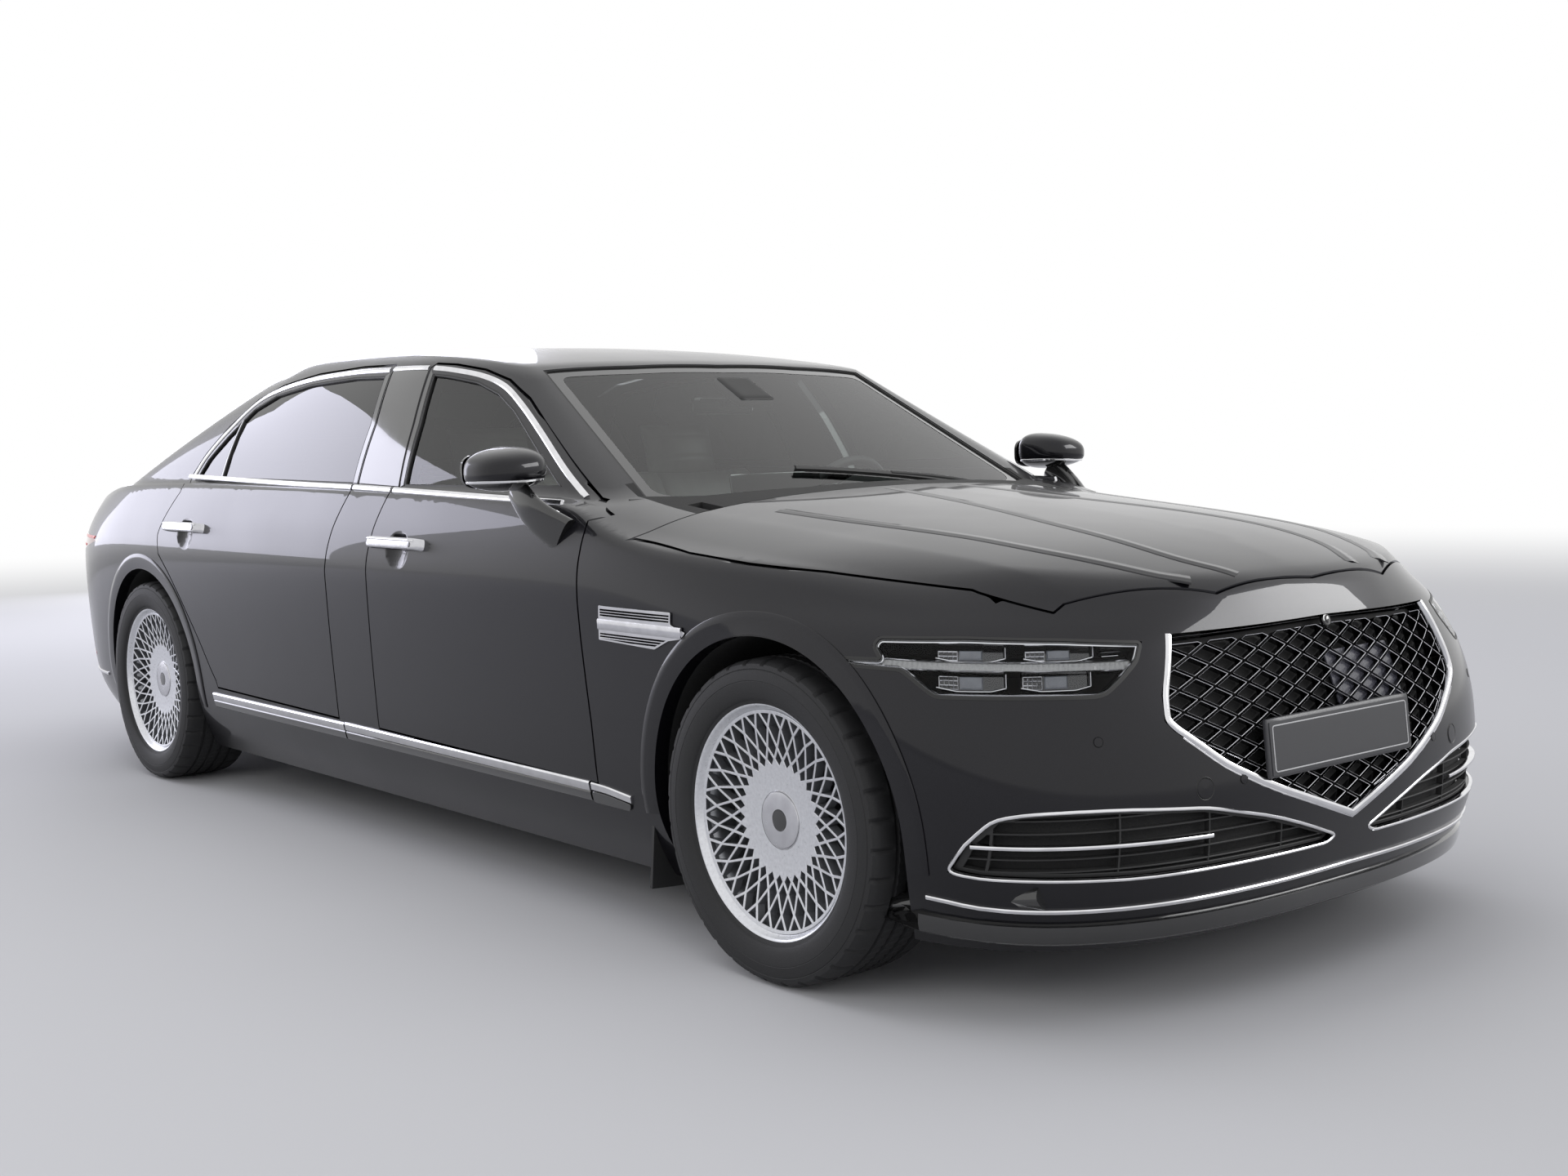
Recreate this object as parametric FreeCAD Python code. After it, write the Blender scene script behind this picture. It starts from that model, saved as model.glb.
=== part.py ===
"""A long-wheelbase luxury saloon car, built from its separate body panels, doors, lids, wheels and running
gear.

Millimetres. +X is forward, +Y is the left side of the car, +Z is up. The origin is on the ground,
below the middle of the car.
"""
import FreeCAD
import Part
import math
import os

Vector = FreeCAD.Vector
os.makedirs("parts", exist_ok=True)

# Overall sizes
LENGTH = 5495.0
BODY_HALF_WIDTH = 957.5
WHEELBASE = 3450.0
FRONT_OVERHANG = 820.0
ROOF_Z = 1480.0
NOSE_X = LENGTH / 2
TAIL_X = -LENGTH / 2
FRONT_AXLE_X = NOSE_X - FRONT_OVERHANG
REAR_AXLE_X = FRONT_AXLE_X - WHEELBASE

# Wheels
TYRE_RADIUS = 351.5
TYRE_WIDTH = 245.0
RIM_RADIUS = 247.0
FRONT_TRACK = 1630.0
REAR_TRACK = 1634.0
ARCH_RADIUS = 400.0

# Panels
PANEL_GAP = 5.0
DOOR_WALL = 78.0
FRAME_WALL = 42.0
SKIN_WALL = 38.0
GLASS = 5.0
GLASS_INSET = 7.0

# Lower body, one row for each height: height, inset of the side, setback of the nose, setback of the tail
LOWER_LEVELS = [
    (150, 118, 72, 150),
    (200, 85, 36, 110),
    (260, 54, 12, 60),
    (345, 34, 1, 18),
    (450, 27, 2, 2),
    (600, 15, 25, 0),
    (750, 6, 58, 18),
    (811, 3, 84, 28),
    (860, 3, 110, 40),
    (920, 14, 165, 55),
    (980, 40, 240, 78),
    (1040, 72, 330, 112),
    (1110, 118, 430, 200),
]
# Where the nose starts to turn in, behind the front axle, and how full its corner is, by height
NOSE_TURN = [(150, 27), (600, 27), (700, 127), (770, 277), (811, 500), (860, 660), (920, 727), (1110, 727)]
NOSE_FULL = [(150, 4.5), (450, 4.5), (600, 4.3), (700, 3.9), (770, 3.2), (811, 2.8), (860, 2.6), (920, 2.2),
             (980, 1.95), (1110, 1.9)]
TAIL_TURN = -22.5
TAIL_FULL = [(150, 4.0), (750, 4.0), (960, 3.0), (1110, 2.6)]
CORNER_SIDE = 2.5

# Bonnet, deck and boot top, one row for each station:
# distance ahead of the origin, centre height, crest half width and height, shoulder half width and height
TOP_STATIONS = [
    (2800, 770, 540, 745, 700, 700),
    (2641, 857, 560, 812, 640, 760),
    (2560, 890, 575, 838, 655, 785),
    (2400, 932, 605, 886, 705, 833),
    (2235, 959, 625, 913, 770, 853),
    (2000, 985, 640, 938, 846, 885),
    (1782, 1005, 645, 957, 866, 905),
    (1450, 1035, 655, 990, 878, 932),
    (1260, 1050, 670, 1012, 880, 985),
    (1120, 1046, 700, 1042, 885, 1026),
    (600, 1045, 700, 1045, 885, 1040),
    (0, 1045, 700, 1045, 885, 1042),
    (-600, 1050, 700, 1050, 885, 1046),
    (-1200, 1058, 700, 1058, 880, 1052),
    (-1700, 1076, 700, 1068, 845, 1048),
    (-1950, 1086, 700, 1064, 820, 1040),
    (-2250, 1078, 695, 1035, 785, 985),
    (-2500, 1066, 690, 1012, 755, 945),
    (-2620, 1058, 680, 998, 740, 925),
    (-2800, 1040, 660, 975, 720, 900),
]

# How many poles of the lower body's net run round the nose, along the side and round the tail
FRONT_POLES = 13
REAR_POLES = 10
SIDE_POLES = 5

# Cabin above the belt: windscreen and rear window, as their top edge and how far they run per height
WINDSCREEN_TOP_X = 614.0
WINDSCREEN_TOP_Z = 1380.0
WINDSCREEN_RUN = 1.852
REAR_WINDOW_TOP_X = -1260.0
REAR_WINDOW_TOP_Z = 1388.0
REAR_WINDOW_RUN = 2.4

# Cabin sides, one row for each height: height, half width at the front pillar, middle and back pillar
CABIN_LEVELS = [
    (960, 846, 898, 888),
    (1040, 820, 872, 860),
    (1120, 780, 842, 826),
    (1200, 737, 805, 785),
    (1290, 690, 758, 731),
    (1360, 655, 716, 684),
    (1405, 632, 686, 648),
    (1440, 600, 640, 605),
    (1500, 530, 560, 530),
]

# Roof along the centre: distance ahead of the origin and height
ROOF_STATIONS = [
    (1500, 1170), (1000, 1290), (800, 1340), (614, 1384), (450, 1416), (250, 1441), (23, 1460),
    (-300, ROOF_Z - 6), (-600, ROOF_Z), (-900, 1468), (-1260, 1402), (-1600, 1320), (-2400, 1150),
]
ROOF_CROWN = 26.0
ROOF_RAIL_Y = 620.0
CABIN_BASE = 900.0

# The cabin, engine bay and boot, and the floor between the wheels
DOOR_ZONE = (-1395.0, 1300.0)
ENGINE_ZONE = 1340.0
BOOT_ZONE = -1425.0
FLOOR_TOP = 225.0
UNDERSIDE = 200.0
REAR_FLOOR_TOP = 500.0
REAR_FLOOR_X = -1100.0
FLOOR_SHEET = 20.0
TRAY_TOP = 165.0
SILL_INNER_Y = 760.0
LOWER_BASE = 100.0
FAR = 3000.0

# Side-view outlines of the doors and their windows, as (x, z)
DOOR_TAPER = 0.3
DOOR_GAP = 6.0
DOOR_ARCH = ARCH_RADIUS + 60.0
FRONT_DOOR = [
    (1289, 354), (1286, 500), (1273, 700), (1270, 790), (1272, 905), (1268, 985), (1140, 1022), (955, 1120),
    (800, 1203), (655, 1282), (530, 1336), (400, 1369), (250, 1390), (150, 1397),
    (138, 1387), (198, 1224), (246, 1045), (225, 902), (205, 816), (192, 500), (189, 367),
]
FRONT_DOOR_REAR_EDGE = range(13, 21)
REAR_DOOR = [
    (-67, 370), (-64, 600), (-60, 806), (-35, 895), (-4, 1055), (-25, 1228), (-84, 1395), (-90, 1403),
    (-300, 1406), (-600, 1396), (-850, 1368), (-1010, 1326), (-1130, 1238), (-1215, 1150), (-1262, 1075),
    (-1262, 1020), (-1300, 950), (-1341, 876), (-1337, 813), (-1262, 750), (-1187, 676), (-1091, 571),
    (-1049, 522), (-988, 442), (-952, 402), (-944, 381),
]
REAR_DOOR_REAR_EDGE = range(12, 26)
FRONT_WINDOW = [(1010, 1054), (639, 1254), (522, 1305), (400, 1340), (250, 1362), (168, 1370), (226, 1224),
                (268, 1052)]
REAR_WINDOW = [
    (-34, 1056), (-54, 1228), (-108, 1374), (-300, 1378), (-600, 1368), (-850, 1341), (-985, 1298), (-1100, 1205),
    (-1180, 1130), (-1212, 1072),
]

# Windscreen, rear window and roof as seen from above, as (x, y), with the gap round the glass
GLASS_GAP = 4.0
FRONT_HEADER = [(612, 0), (600, -300), (572, -581)]
REAR_HEADER = [(-1262, 0), (-1250, -300), (-1215, -560)]
WINDSCREEN_PLAN = [(1330, 0), (1330, -300), (1270, -560), (1186, -684)] + FRONT_HEADER[::-1]
REAR_SCREEN_PLAN = [(-1958, 0), (-1950, -300), (-1885, -640)] + REAR_HEADER[::-1]
ROOF_PLAN = ([(x - GLASS_GAP, y) for x, y in FRONT_HEADER] + [(0, -590)]
             + [(x + GLASS_GAP, y) for x, y in REAR_HEADER[::-1]])

# The bonnet's outline: its side line as (x, z), its ends as (x, y), and how its ends slant
BONNET_SIDE = [(1400, 946), (1495, 934), (1634, 916), (1832, 899), (2023, 886), (2334, 855), (2484, 811),
               (2700, 800)]
BONNET_REAR = [(1404, -960), (1404, -880), (1425, -600), (1455, -300), (1466, 0)]
BONNET_FRONT = [(2639, 0), (2620, -300), (2484, -604), (2478, -960)]
REAR_SLANT = 0.6
FRONT_SLANT = 0.15
PLAN_TOP = 1150.0

# Boot lid
LID_FRONT_X = -1968.0
LID_HALF_WIDTH = 640.0
LID_BOTTOM_Z = 640.0
SPLIT_GAP = 3.0

# The headlamp as seen square on to the car's front corner, at 45 degrees: distance towards the front and height
HEADLAMP_OUTLINE = [(878, 724), (907, 708), (1007, 705), (1058, 667), (1075, 657), (1223, 656), (1382, 653),
                    (1405, 658), (1437, 684), (1468, 715), (1479, 752), (1321, 763), (1131, 769), (963, 767),
                    (950, 750), (964, 727)]

# Tail lamp, front bumper, front wing and rear bumper as seen from the side, as (x, z)
TAIL_LAMP_SIDE = [(-1990, 838), (-2200, 860), (-2900, 866), (-2900, 796), (-2260, 792)]
BUMPER_FRONT = [(1900, 100), (1900, 729), (2240, 729), (2350, 768), (2352, 785), (2375, 815), (2400, 835),
                (2400, 900), (2900, 900), (2900, 100)]
FENDER = [(1294, 300), (1294, 1030), (1150, 1060), (1150, 1100), (2900, 1100), (2900, 300)]
BUMPER_REAR = [(-1930, 100), (-1940, 560), (-2050, 640), (-2900, 640), (-2900, 100)]

# Front-view outlines of the grille and the lower intake, as (y, z)
GRILLE_OUTLINE = [(0, 346), (-263, 437), (-393, 498), (-505, 580), (-522, 600), (-515, 650), (-460, 762), (0, 770)]
INTAKE_OUTLINE = [(-60, 316), (-161, 352), (-265, 384), (-443, 424), (-640, 440), (-742, 442), (-800, 438),
                  (-836, 428), (-864, 378), (-872, 320), (-842, 312), (-588, 303), (-259, 307), (-86, 304)]

# Transmission tunnel and bonnet hinges
TUNNEL_HALF = 175.0
TUNNEL_TOP = 540.0
TUNNEL_REAR_X = 880.0
BONNET_AXIS = (1345.0, 960.0)
HINGE_ARM_Y = 640.0
HINGE_ARM_WIDE = 12.0
HINGE_PIN = 6.0
HINGE_EYE = 13.0
PIN_CLEAR = 0.05
SEAT_GAP = 0.3
HINGE_ROOM = 7.0

# Wheel house liners and wheel centres
LINER = 5.0
WHEEL_HOUSE_Y = 500.0
FRONT_RIM_Y = FRONT_TRACK / 2
REAR_RIM_Y = REAR_TRACK / 2

# Door hinges
HINGE_HEIGHTS = (470.0, 640.0)
LEAF_HALF = 22.0

# Engine bay opening in the floor
BAY_HALF = 360.0

# Lamps, grille lattice and intake bars
LAMP_DEPTH = 70.0
LAMP_NEAR = 1900.0
LAMP_FAR = 2600.0
GRILLE_SETBACK = 12.0
GRILLE_PITCH_Y = 92.5
GRILLE_PITCH_Z = 43.0
GRILLE_NODE_Z = 700.0
GRILLE_BAR = 6.0
GRILLE_FRAME = 20.0
INTAKE_FRAME = 13.0
INTAKE_BAR = 5.0
INTAKE_PITCH_Z = 26.0
INTAKE_PITCH_Y = 205.0

# The vent behind the front wheel, as (x, z), and the door handles: rear end, front end and height
VENT_OUTLINE = [(1366, 786), (1645, 785), (1643, 758), (1696, 743), (1679, 728), (1633, 721), (1578, 698),
                (1359, 705)]
VENT_PROUD = 4.0
VENT_DEPTH = 12.0
VENT_SLOT = 9.0
VENT_POCKET = 24.0
VENT_PITCH = 24.0
FRONT_HANDLE = (238.0, 528.0, 898.0)
REAR_HANDLE = (-1256.0, -954.0, 906.0)
HANDLE_HALF_HIGH = 14.0
HANDLE_OUT = 30.0
HANDLE_THICK = 13.0
HANDLE_FOOT = 26.0
CUP_DEPTH = 14.0
CUP_RADIUS = 150.0
CUP_UP = 6.0

# Door mirrors
MIRROR_CENTRE = (1000.0, -985.0, 1097.0)
MIRROR_HALF = (125.0, 95.0, 58.0)

# Tyre section, hub bore and spindle
HALF_TYRE = TYRE_WIDTH / 2
HUB_BORE = 30.05
SPINDLE = 30.0

# The wheel's mesh of crossing bars: how many nodes go round, and the radius of each ring of nodes
MESH_COUNT = 30
MESH_RINGS = (114.0, 132.0, 158.0, 202.0, 247.0)
MESH_BAR = 6.0
MESH_EDGE = 232.0

# Hub carriers and brakes
HUB_INNER = HALF_TYRE * 0.8 - 150
HUB_OUTER = HALF_TYRE * 0.8 - 62
STEER_Y = 795.0
KNUCKLE_THICK = 34.0
BALL_GAP = 0.4

# Engine underside
ENGINE_BASE = 330.0

# Dashboard and steering wheel
DASH_HALF = 762.0
STEERING_WHEEL_RADIUS = 188.0
STEERING_TILT = 25.0
STEERING_CENTRE = (693.0, 400.0, 934.0)
TILT = math.radians(STEERING_TILT)
COLUMN_AXIS = (-math.cos(TILT), 0.0, math.sin(TILT))
COLUMN_TOP = tuple(c - 40.3 * a for c, a in zip(STEERING_CENTRE, COLUMN_AXIS))
COLUMN_FOOT = tuple(c - 330 * a for c, a in zip(STEERING_CENTRE, COLUMN_AXIS))


def smooth(points, x):
    """The height at x of a smooth curve through the points, which never overshoots them."""
    if x <= points[0][0]:
        return points[0][1]
    if x >= points[-1][0]:
        return points[-1][1]
    slopes = []
    for a, b in zip(points, points[1:]):
        slopes.append((b[1] - a[1]) / (b[0] - a[0]))
    bends = [slopes[0]]
    for s, t in zip(slopes, slopes[1:]):
        bends.append(0.0 if s * t <= 0 else 2 * s * t / (s + t))
    bends.append(slopes[-1])
    k = max(i for i in range(len(points) - 1) if points[i][0] <= x)
    (x0, y0), (x1, y1) = points[k], points[k + 1]
    h = x1 - x0
    t = (x - x0) / h
    return (y0 * (1 + 2 * t) * (1 - t) ** 2 + bends[k] * h * t * (1 - t) ** 2
            + y1 * t * t * (3 - 2 * t) + bends[k + 1] * h * t * t * (t - 1))


def spline_face(poles):
    """A smooth face drawn by a net of poles, which it meets only at its four corners."""
    nu = len(poles)
    nv = len(poles[0])
    surface = Part.BSplineSurface()
    surface.buildFromPolesMultsKnots(
        poles, [4] + [1] * (nu - 4) + [4], [4] + [1] * (nv - 4) + [4],
        [float(i) for i in range(nu - 2)], [float(i) for i in range(nv - 2)], False, False, 3, 3)
    return surface.toShape()


def plane_face(edges, ends):
    """The flat face inside edges, closed by straight lines between the pairs of end points."""
    lines = [Part.makeLine(a, b) for a, b in ends if a.distanceToPoint(b) > 0.001]
    loop = Part.Wire(Part.__sortEdges__(edges + lines))
    return Part.Face(loop)


def boundary(poles, side):
    """One side of a pole net as an edge: its first or last row or column."""
    row = {"first_row": poles[0], "last_row": poles[-1], "first_column": [r[0] for r in poles],
           "last_column": [r[-1] for r in poles]}[side]
    n = len(row)
    curve = Part.BSplineCurve()
    curve.buildFromPolesMultsKnots(row, [4] + [1] * (n - 4) + [4], [float(i) for i in range(n - 2)], False, 3)
    return curve.toShape(), row[0], row[-1]


def close_solid(faces):
    shell = Part.Compound(faces).copy()
    shell.sewShape(0.01)
    solid = Part.Solid(shell.Shells[0])
    if solid.Volume < 0:
        solid.reverse()
    return solid


def ring_solid(poles):
    """The closed right half inside a ring of poles, whose rows lie at fixed heights and end on the centre plane."""
    bottom, b0, b1 = boundary(poles, "first_row")
    top, t0, t1 = boundary(poles, "last_row")
    front, _, _ = boundary(poles, "first_column")
    back, _, _ = boundary(poles, "last_column")
    faces = [spline_face(poles), plane_face([bottom], [(b0, b1)]), plane_face([top], [(t0, t1)]),
             plane_face([front, back], [(b0, b1), (t0, t1)])]
    return close_solid(faces)


def both_sides(half):
    """A half on the right of the centre plane, joined to its mirror image."""
    return half.fuse(half.mirror(Vector(0, 0, 0), Vector(0, 1, 0)))


def mirrored(shape):
    return shape.mirror(Vector(0, 0, 0), Vector(0, 1, 0))


def lower_row(level, offset):
    """Poles round the right half of the lower body at one height, from nose to tail, moved in by offset."""
    z, inset, nose_back, tail_back = level
    half = BODY_HALF_WIDTH - inset - offset
    nose = NOSE_X - nose_back - offset
    tail = TAIL_X + tail_back + offset
    turn = FRONT_AXLE_X - smooth(NOSE_TURN, z)
    full = smooth(NOSE_FULL, z)
    tail_turn = REAR_AXLE_X - TAIL_TURN
    tail_full = smooth(TAIL_FULL, z)
    row = []
    for i in range(FRONT_POLES):
        a = math.pi / 2 * i / FRONT_POLES
        row.append(Vector(turn + (nose - turn) * math.cos(a) ** (2 / full),
                          -half * math.sin(a) ** (2 / CORNER_SIDE), z))
    row[1].x = nose
    for i in range(SIDE_POLES + 1):
        row.append(Vector(turn + (tail_turn - turn) * i / SIDE_POLES, -half, z))
    for i in range(1, REAR_POLES + 1):
        a = math.pi / 2 * (1 - i / REAR_POLES)
        row.append(Vector(tail_turn + (tail - tail_turn) * math.cos(a) ** (2 / tail_full),
                          -half * math.sin(a) ** (2 / CORNER_SIDE), z))
    row[-2].x = tail
    return row


def top_section(station, drop):
    """Poles across the bonnet or deck at one station, from the centre to beyond the right side."""
    x, centre, crest_y, crest, shoulder_y, shoulder = station
    row = []
    for share in (0.0, 0.25, 0.55, 0.8, 0.94):
        row.append(Vector(x, -crest_y * share, centre + (crest - centre) * share ** 2.4 - drop))
    for share in (0.0, 0.12, 0.45, 0.75, 1.0):
        y = crest_y + (shoulder_y - crest_y) * share
        row.append(Vector(x, -y, crest + (shoulder - crest) * share ** 1.35 - drop))
    slope = (crest - shoulder) / (shoulder_y - crest_y)
    reach = BODY_HALF_WIDTH + 60
    row.append(Vector(x, -reach, shoulder - 0.75 * slope * (reach - shoulder_y) - drop))
    return row


def solid_below(poles, base):
    """The closed right half between a net of poles and the height of its base."""
    front, f0, f1 = boundary(poles, "first_row")
    back, r0, r1 = boundary(poles, "last_row")
    centre, _, _ = boundary(poles, "first_column")
    side, _, _ = boundary(poles, "last_column")
    low = [Vector(p.x, p.y, base) for p in (f0, f1, r0, r1)]
    faces = [spline_face(poles),
             plane_face([front], [(f0, low[0]), (low[0], low[1]), (low[1], f1)]),
             plane_face([back], [(r0, low[2]), (low[2], low[3]), (low[3], r1)]),
             plane_face([centre], [(f0, low[0]), (low[0], low[2]), (low[2], r0)]),
             plane_face([side], [(f1, low[1]), (low[1], low[3]), (low[3], r1)]),
             plane_face([], [(low[0], low[1]), (low[1], low[3]), (low[3], low[2]), (low[2], low[0])])]
    return close_solid(faces)


def lower_body(offset, top_drop, bottom_lift):
    """The right half of the body below the windows, moved in by offset from its outer surface."""
    rows = [lower_row(level, offset) for level in LOWER_LEVELS]
    ring = ring_solid(rows)
    top = solid_below([top_section(s, top_drop) for s in TOP_STATIONS], LOWER_BASE)
    half = ring.common(top)
    if bottom_lift > LOWER_LEVELS[0][0]:
        half = half.cut(Part.makeBox(LENGTH * 1.2, BODY_HALF_WIDTH * 1.2, bottom_lift,
                                     Vector(-LENGTH * 0.6, -BODY_HALF_WIDTH * 1.2, 0)))
    return half


def cabin_row(level, offset):
    z, front_side, middle, back_side = level
    screen = WINDSCREEN_TOP_X + (WINDSCREEN_TOP_Z - z) * WINDSCREEN_RUN - offset
    corner = 684 - 0.304 * (z - 1022) - offset
    bow = 73 + (1361 - z) * 0.053
    rear = REAR_WINDOW_TOP_X - (REAR_WINDOW_TOP_Z - z) * REAR_WINDOW_RUN + offset
    rear_corner = 640 - 0.38 * (z - 1085) - offset
    rear_bow = 60
    front_side, middle, back_side = front_side - offset, middle - offset, back_side - offset
    side_x = screen - bow - 95
    last_x = rear + rear_bow + 150
    points = [
        (screen, 0), (screen, 0.25 * corner), (screen - 0.3 * bow, 0.6 * corner), (screen - 0.8 * bow, 0.92 * corner),
        (screen - bow, corner), (screen - bow - 8, corner + 0.45 * (front_side - corner)),
        (side_x + 42, front_side - 8), (side_x - 20, front_side + 3),
        (side_x - 160, front_side + 0.45 * (middle - front_side)),
        (120, middle - 2), (-350, middle), (-800, middle - 0.3 * (middle - back_side)),
        (last_x + 120, back_side), (last_x, back_side - 20), (rear + rear_bow + 50, 0.5 * (rear_corner + back_side)),
        (rear + rear_bow, rear_corner + 10), (rear + 0.7 * rear_bow, 0.85 * rear_corner),
        (rear + 0.25 * rear_bow, 0.5 * rear_corner), (rear, 0.2 * rear_corner), (rear, 0),
    ]
    return [Vector(x, -y, z) for x, y in points]


def roof_section(station, drop):
    x, z = station
    row = []
    for share in (0.0, 0.2, 0.45, 0.7, 0.9, 1.05, 1.2, 1.6):
        row.append(Vector(x, -ROOF_RAIL_Y * share, z - ROOF_CROWN * share ** 2.3 - drop))
    return row


def cabin_body(offset, drop):
    """The right half of the cabin above the belt, moved in by offset."""
    rows = [cabin_row(level, offset) for level in CABIN_LEVELS]
    ring = ring_solid(rows)
    return ring, solid_below([roof_section(s, drop) for s in ROOF_STATIONS], CABIN_BASE)


def half_box(x0, x1, y0, y1, z0, z1):
    return Part.makeBox(x1 - x0, y1 - y0, z1 - z0, Vector(x0, y0, z0))


def side_wire(points, y):
    """A closed outline given as (x, z) pairs, on the plane at y."""
    corners = [Vector(x, y, z) for x, z in points]
    return Part.makePolygon(corners + corners[:1])


def side_prism(points, grow=0.0, y0=-1200.0, y1=0.0):
    """The space inside a side-view outline, grown all round, from one width to another."""
    wire = side_wire(points, y0)
    if grow:
        wire = wire.makeOffset2D(grow, 2)
    return Part.Face(wire).extrude(Vector(0, y1 - y0, 0))


def plan_prism(points, z0, z1, grow=0.0):
    corners = [Vector(x, y, z0) for x, y in points]
    wire = Part.makePolygon(corners + corners[:1])
    if grow:
        wire = wire.makeOffset2D(grow, 2)
    return Part.Face(wire).extrude(Vector(0, 0, z1 - z0))


def tapered_prism(near, far):
    """A ruled solid between two outlines with the same number of corners."""
    loops = [Part.makePolygon(list(p) + [p[0]]) for p in (near, far)]
    return Part.makeLoft(loops, True, True)


def cylinder_y(radius, x, z, y0, y1):
    return Part.makeCylinder(radius, y1 - y0, Vector(x, y0, z), Vector(0, 1, 0))


def rod(radius, a, b):
    a, b = Vector(*a), Vector(*b)
    return Part.makeCylinder(radius, (b - a).Length, a, b - a)


def fuse_all(shapes):
    first = shapes[0]
    return first.fuse(shapes[1:]) if len(shapes) > 1 else first


def pair(shape):
    """The shape and its mirror image, which don't touch, as one compound."""
    return Part.Compound([shape, mirrored(shape)])


def cabin_solid(offset):
    ring, roof = cabin_body(offset, offset)
    return ring.common(roof)


OUTER_LOWER = lower_body(0, 0, 0)
OUTER = OUTER_LOWER.fuse(cabin_solid(0))
INNER_CABIN = cabin_solid(FRAME_WALL)
INNER_DOOR = lower_body(DOOR_WALL, 60, FLOOR_TOP)
INNER_SKIN = lower_body(SKIN_WALL, SKIN_WALL, TRAY_TOP)
INNER = fuse_all([
    INNER_DOOR.common(half_box(*DOOR_ZONE, -FAR, 1, 0, FAR)),
    INNER_CABIN.common(half_box(-FAR, FAR, -FAR, 1, 965, FAR)),
    INNER_SKIN.common(half_box(ENGINE_ZONE, FAR, -FAR, 1, 0, FAR)),
    INNER_SKIN.common(half_box(-FAR, BOOT_ZONE, -FAR, 1, 0, FAR)),
])
SHELL = OUTER.cut(INNER)


def skin_y(x, z):
    """Where a line across the car at (x, z) meets the outer surface, on the right."""
    line = Part.makeLine(Vector(x, -1200, z), Vector(x, -1, z)).common(OUTER)
    return line.BoundBox.YMin


def grown(outline, grow):
    """The corners of an outline, each moved out so that its two sides lie that much further out."""
    area = sum(a[0] * b[1] - b[0] * a[1] for a, b in zip(outline, outline[1:] + outline[:1]))
    turn = 1.0 if area > 0 else -1.0
    spots = []
    for before, here, after in zip(outline[-1:] + outline[:-1], outline, outline[1:] + outline[:1]):
        normals = []
        for a, b in ((before, here), (here, after)):
            size = math.hypot(b[0] - a[0], b[1] - a[1])
            normals.append((turn * (b[1] - a[1]) / size, -turn * (b[0] - a[0]) / size))
        (m, n), (u, v) = normals
        share = grow / (1 + m * u + n * v)
        spots.append((here[0] + share * (m + u), here[1] + share * (n + v)))
    return spots


def door_prism(outline, rear_edge, grow):
    """The space that a door fills from outside to inside. Its rear edge slants forward inwards, so that it
    swings clear of the pillar behind."""
    near, far = [], []
    for i, (x, z) in enumerate(grown(outline, grow)):
        slant = DOOR_TAPER if i in rear_edge else 0.0
        skin = max(skin_y(outline[i][0], outline[i][1]), -BODY_HALF_WIDTH) if slant else 0.0
        near.append(Vector(x + slant * (-1200 - skin), -1200, z))
        far.append(Vector(x + slant * (-450 - skin), -450, z))
    return tapered_prism(near, far)


def edge_x(outline, span, low, high):
    """The greatest x of an outline's edge, given by its corners' places, between two heights."""
    reach = []
    for i, j in span:
        (x0, z0), (x1, z1) = outline[i], outline[j]
        for z in (low, high):
            if min(z0, z1) <= z <= max(z0, z1):
                reach.append(x0 + (x1 - x0) * (z - z0) / (z1 - z0))
    return max(reach)


CABIN_CORE = half_box(-FAR, FAR, -780, 1, 0, 1060)


def roof_space(grow):
    return plan_prism(ROOF_PLAN, 1200, FAR, grow)


def front_door_body():
    body = SHELL.common(door_prism(FRONT_DOOR, FRONT_DOOR_REAR_EDGE, 0)).cut(roof_space(PANEL_GAP))
    body = body.cut(plan_prism(WINDSCREEN_PLAN, 1000, FAR, PANEL_GAP)).cut(CABIN_CORE)
    return body.cut(side_prism(FRONT_WINDOW, 0, -1200, -300)).cut(handle_cup(FRONT_HANDLE))


def rear_door_body():
    body = SHELL.common(door_prism(REAR_DOOR, REAR_DOOR_REAR_EDGE, 0)).cut(roof_space(PANEL_GAP))
    body = body.cut(plan_prism(REAR_SCREEN_PLAN, 1000, FAR, PANEL_GAP)).cut(arch_space(REAR_AXLE_X, DOOR_ARCH))
    body = body.cut(CABIN_CORE)
    return body.cut(side_prism(REAR_WINDOW, 0, -1200, -300)).cut(handle_cup(REAR_HANDLE))


GLASS_SHEET = cabin_solid(GLASS_INSET).cut(cabin_solid(GLASS_INSET + GLASS))


def side_glass(outline):
    return GLASS_SHEET.common(side_prism(outline, 0, -1200, -300))


def arch_space(x, radius):
    return cylinder_y(radius, x, TYRE_RADIUS, -1200, -WHEEL_HOUSE_Y)


def bonnet_prism(grow):
    """The space of the bonnet: inside its plan outline, whose ends slant towards each other downwards, and
    above its side line."""
    rear = [(x - grow, y) for x, y in BONNET_REAR]
    front = [(x + grow, y) for x, y in BONNET_FRONT]
    high, low = [], []
    base = 700.0
    for (x, y), slant, at in [(p, REAR_SLANT, 990.0) for p in rear] + [(p, -FRONT_SLANT, 830.0) for p in front]:
        high.append(Vector(x - slant * (PLAN_TOP - at), y, PLAN_TOP))
        low.append(Vector(x + slant * (at - base), y, base))
    side = [(900, PLAN_TOP)] + [(900, BONNET_SIDE[0][1] - grow)]
    side += [(x, z - grow) for x, z in BONNET_SIDE] + [(2900, BONNET_SIDE[-1][1] - grow), (2900, PLAN_TOP)]
    return tapered_prism(high, low).common(side_prism(side, 0, -1200, 0))


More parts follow.
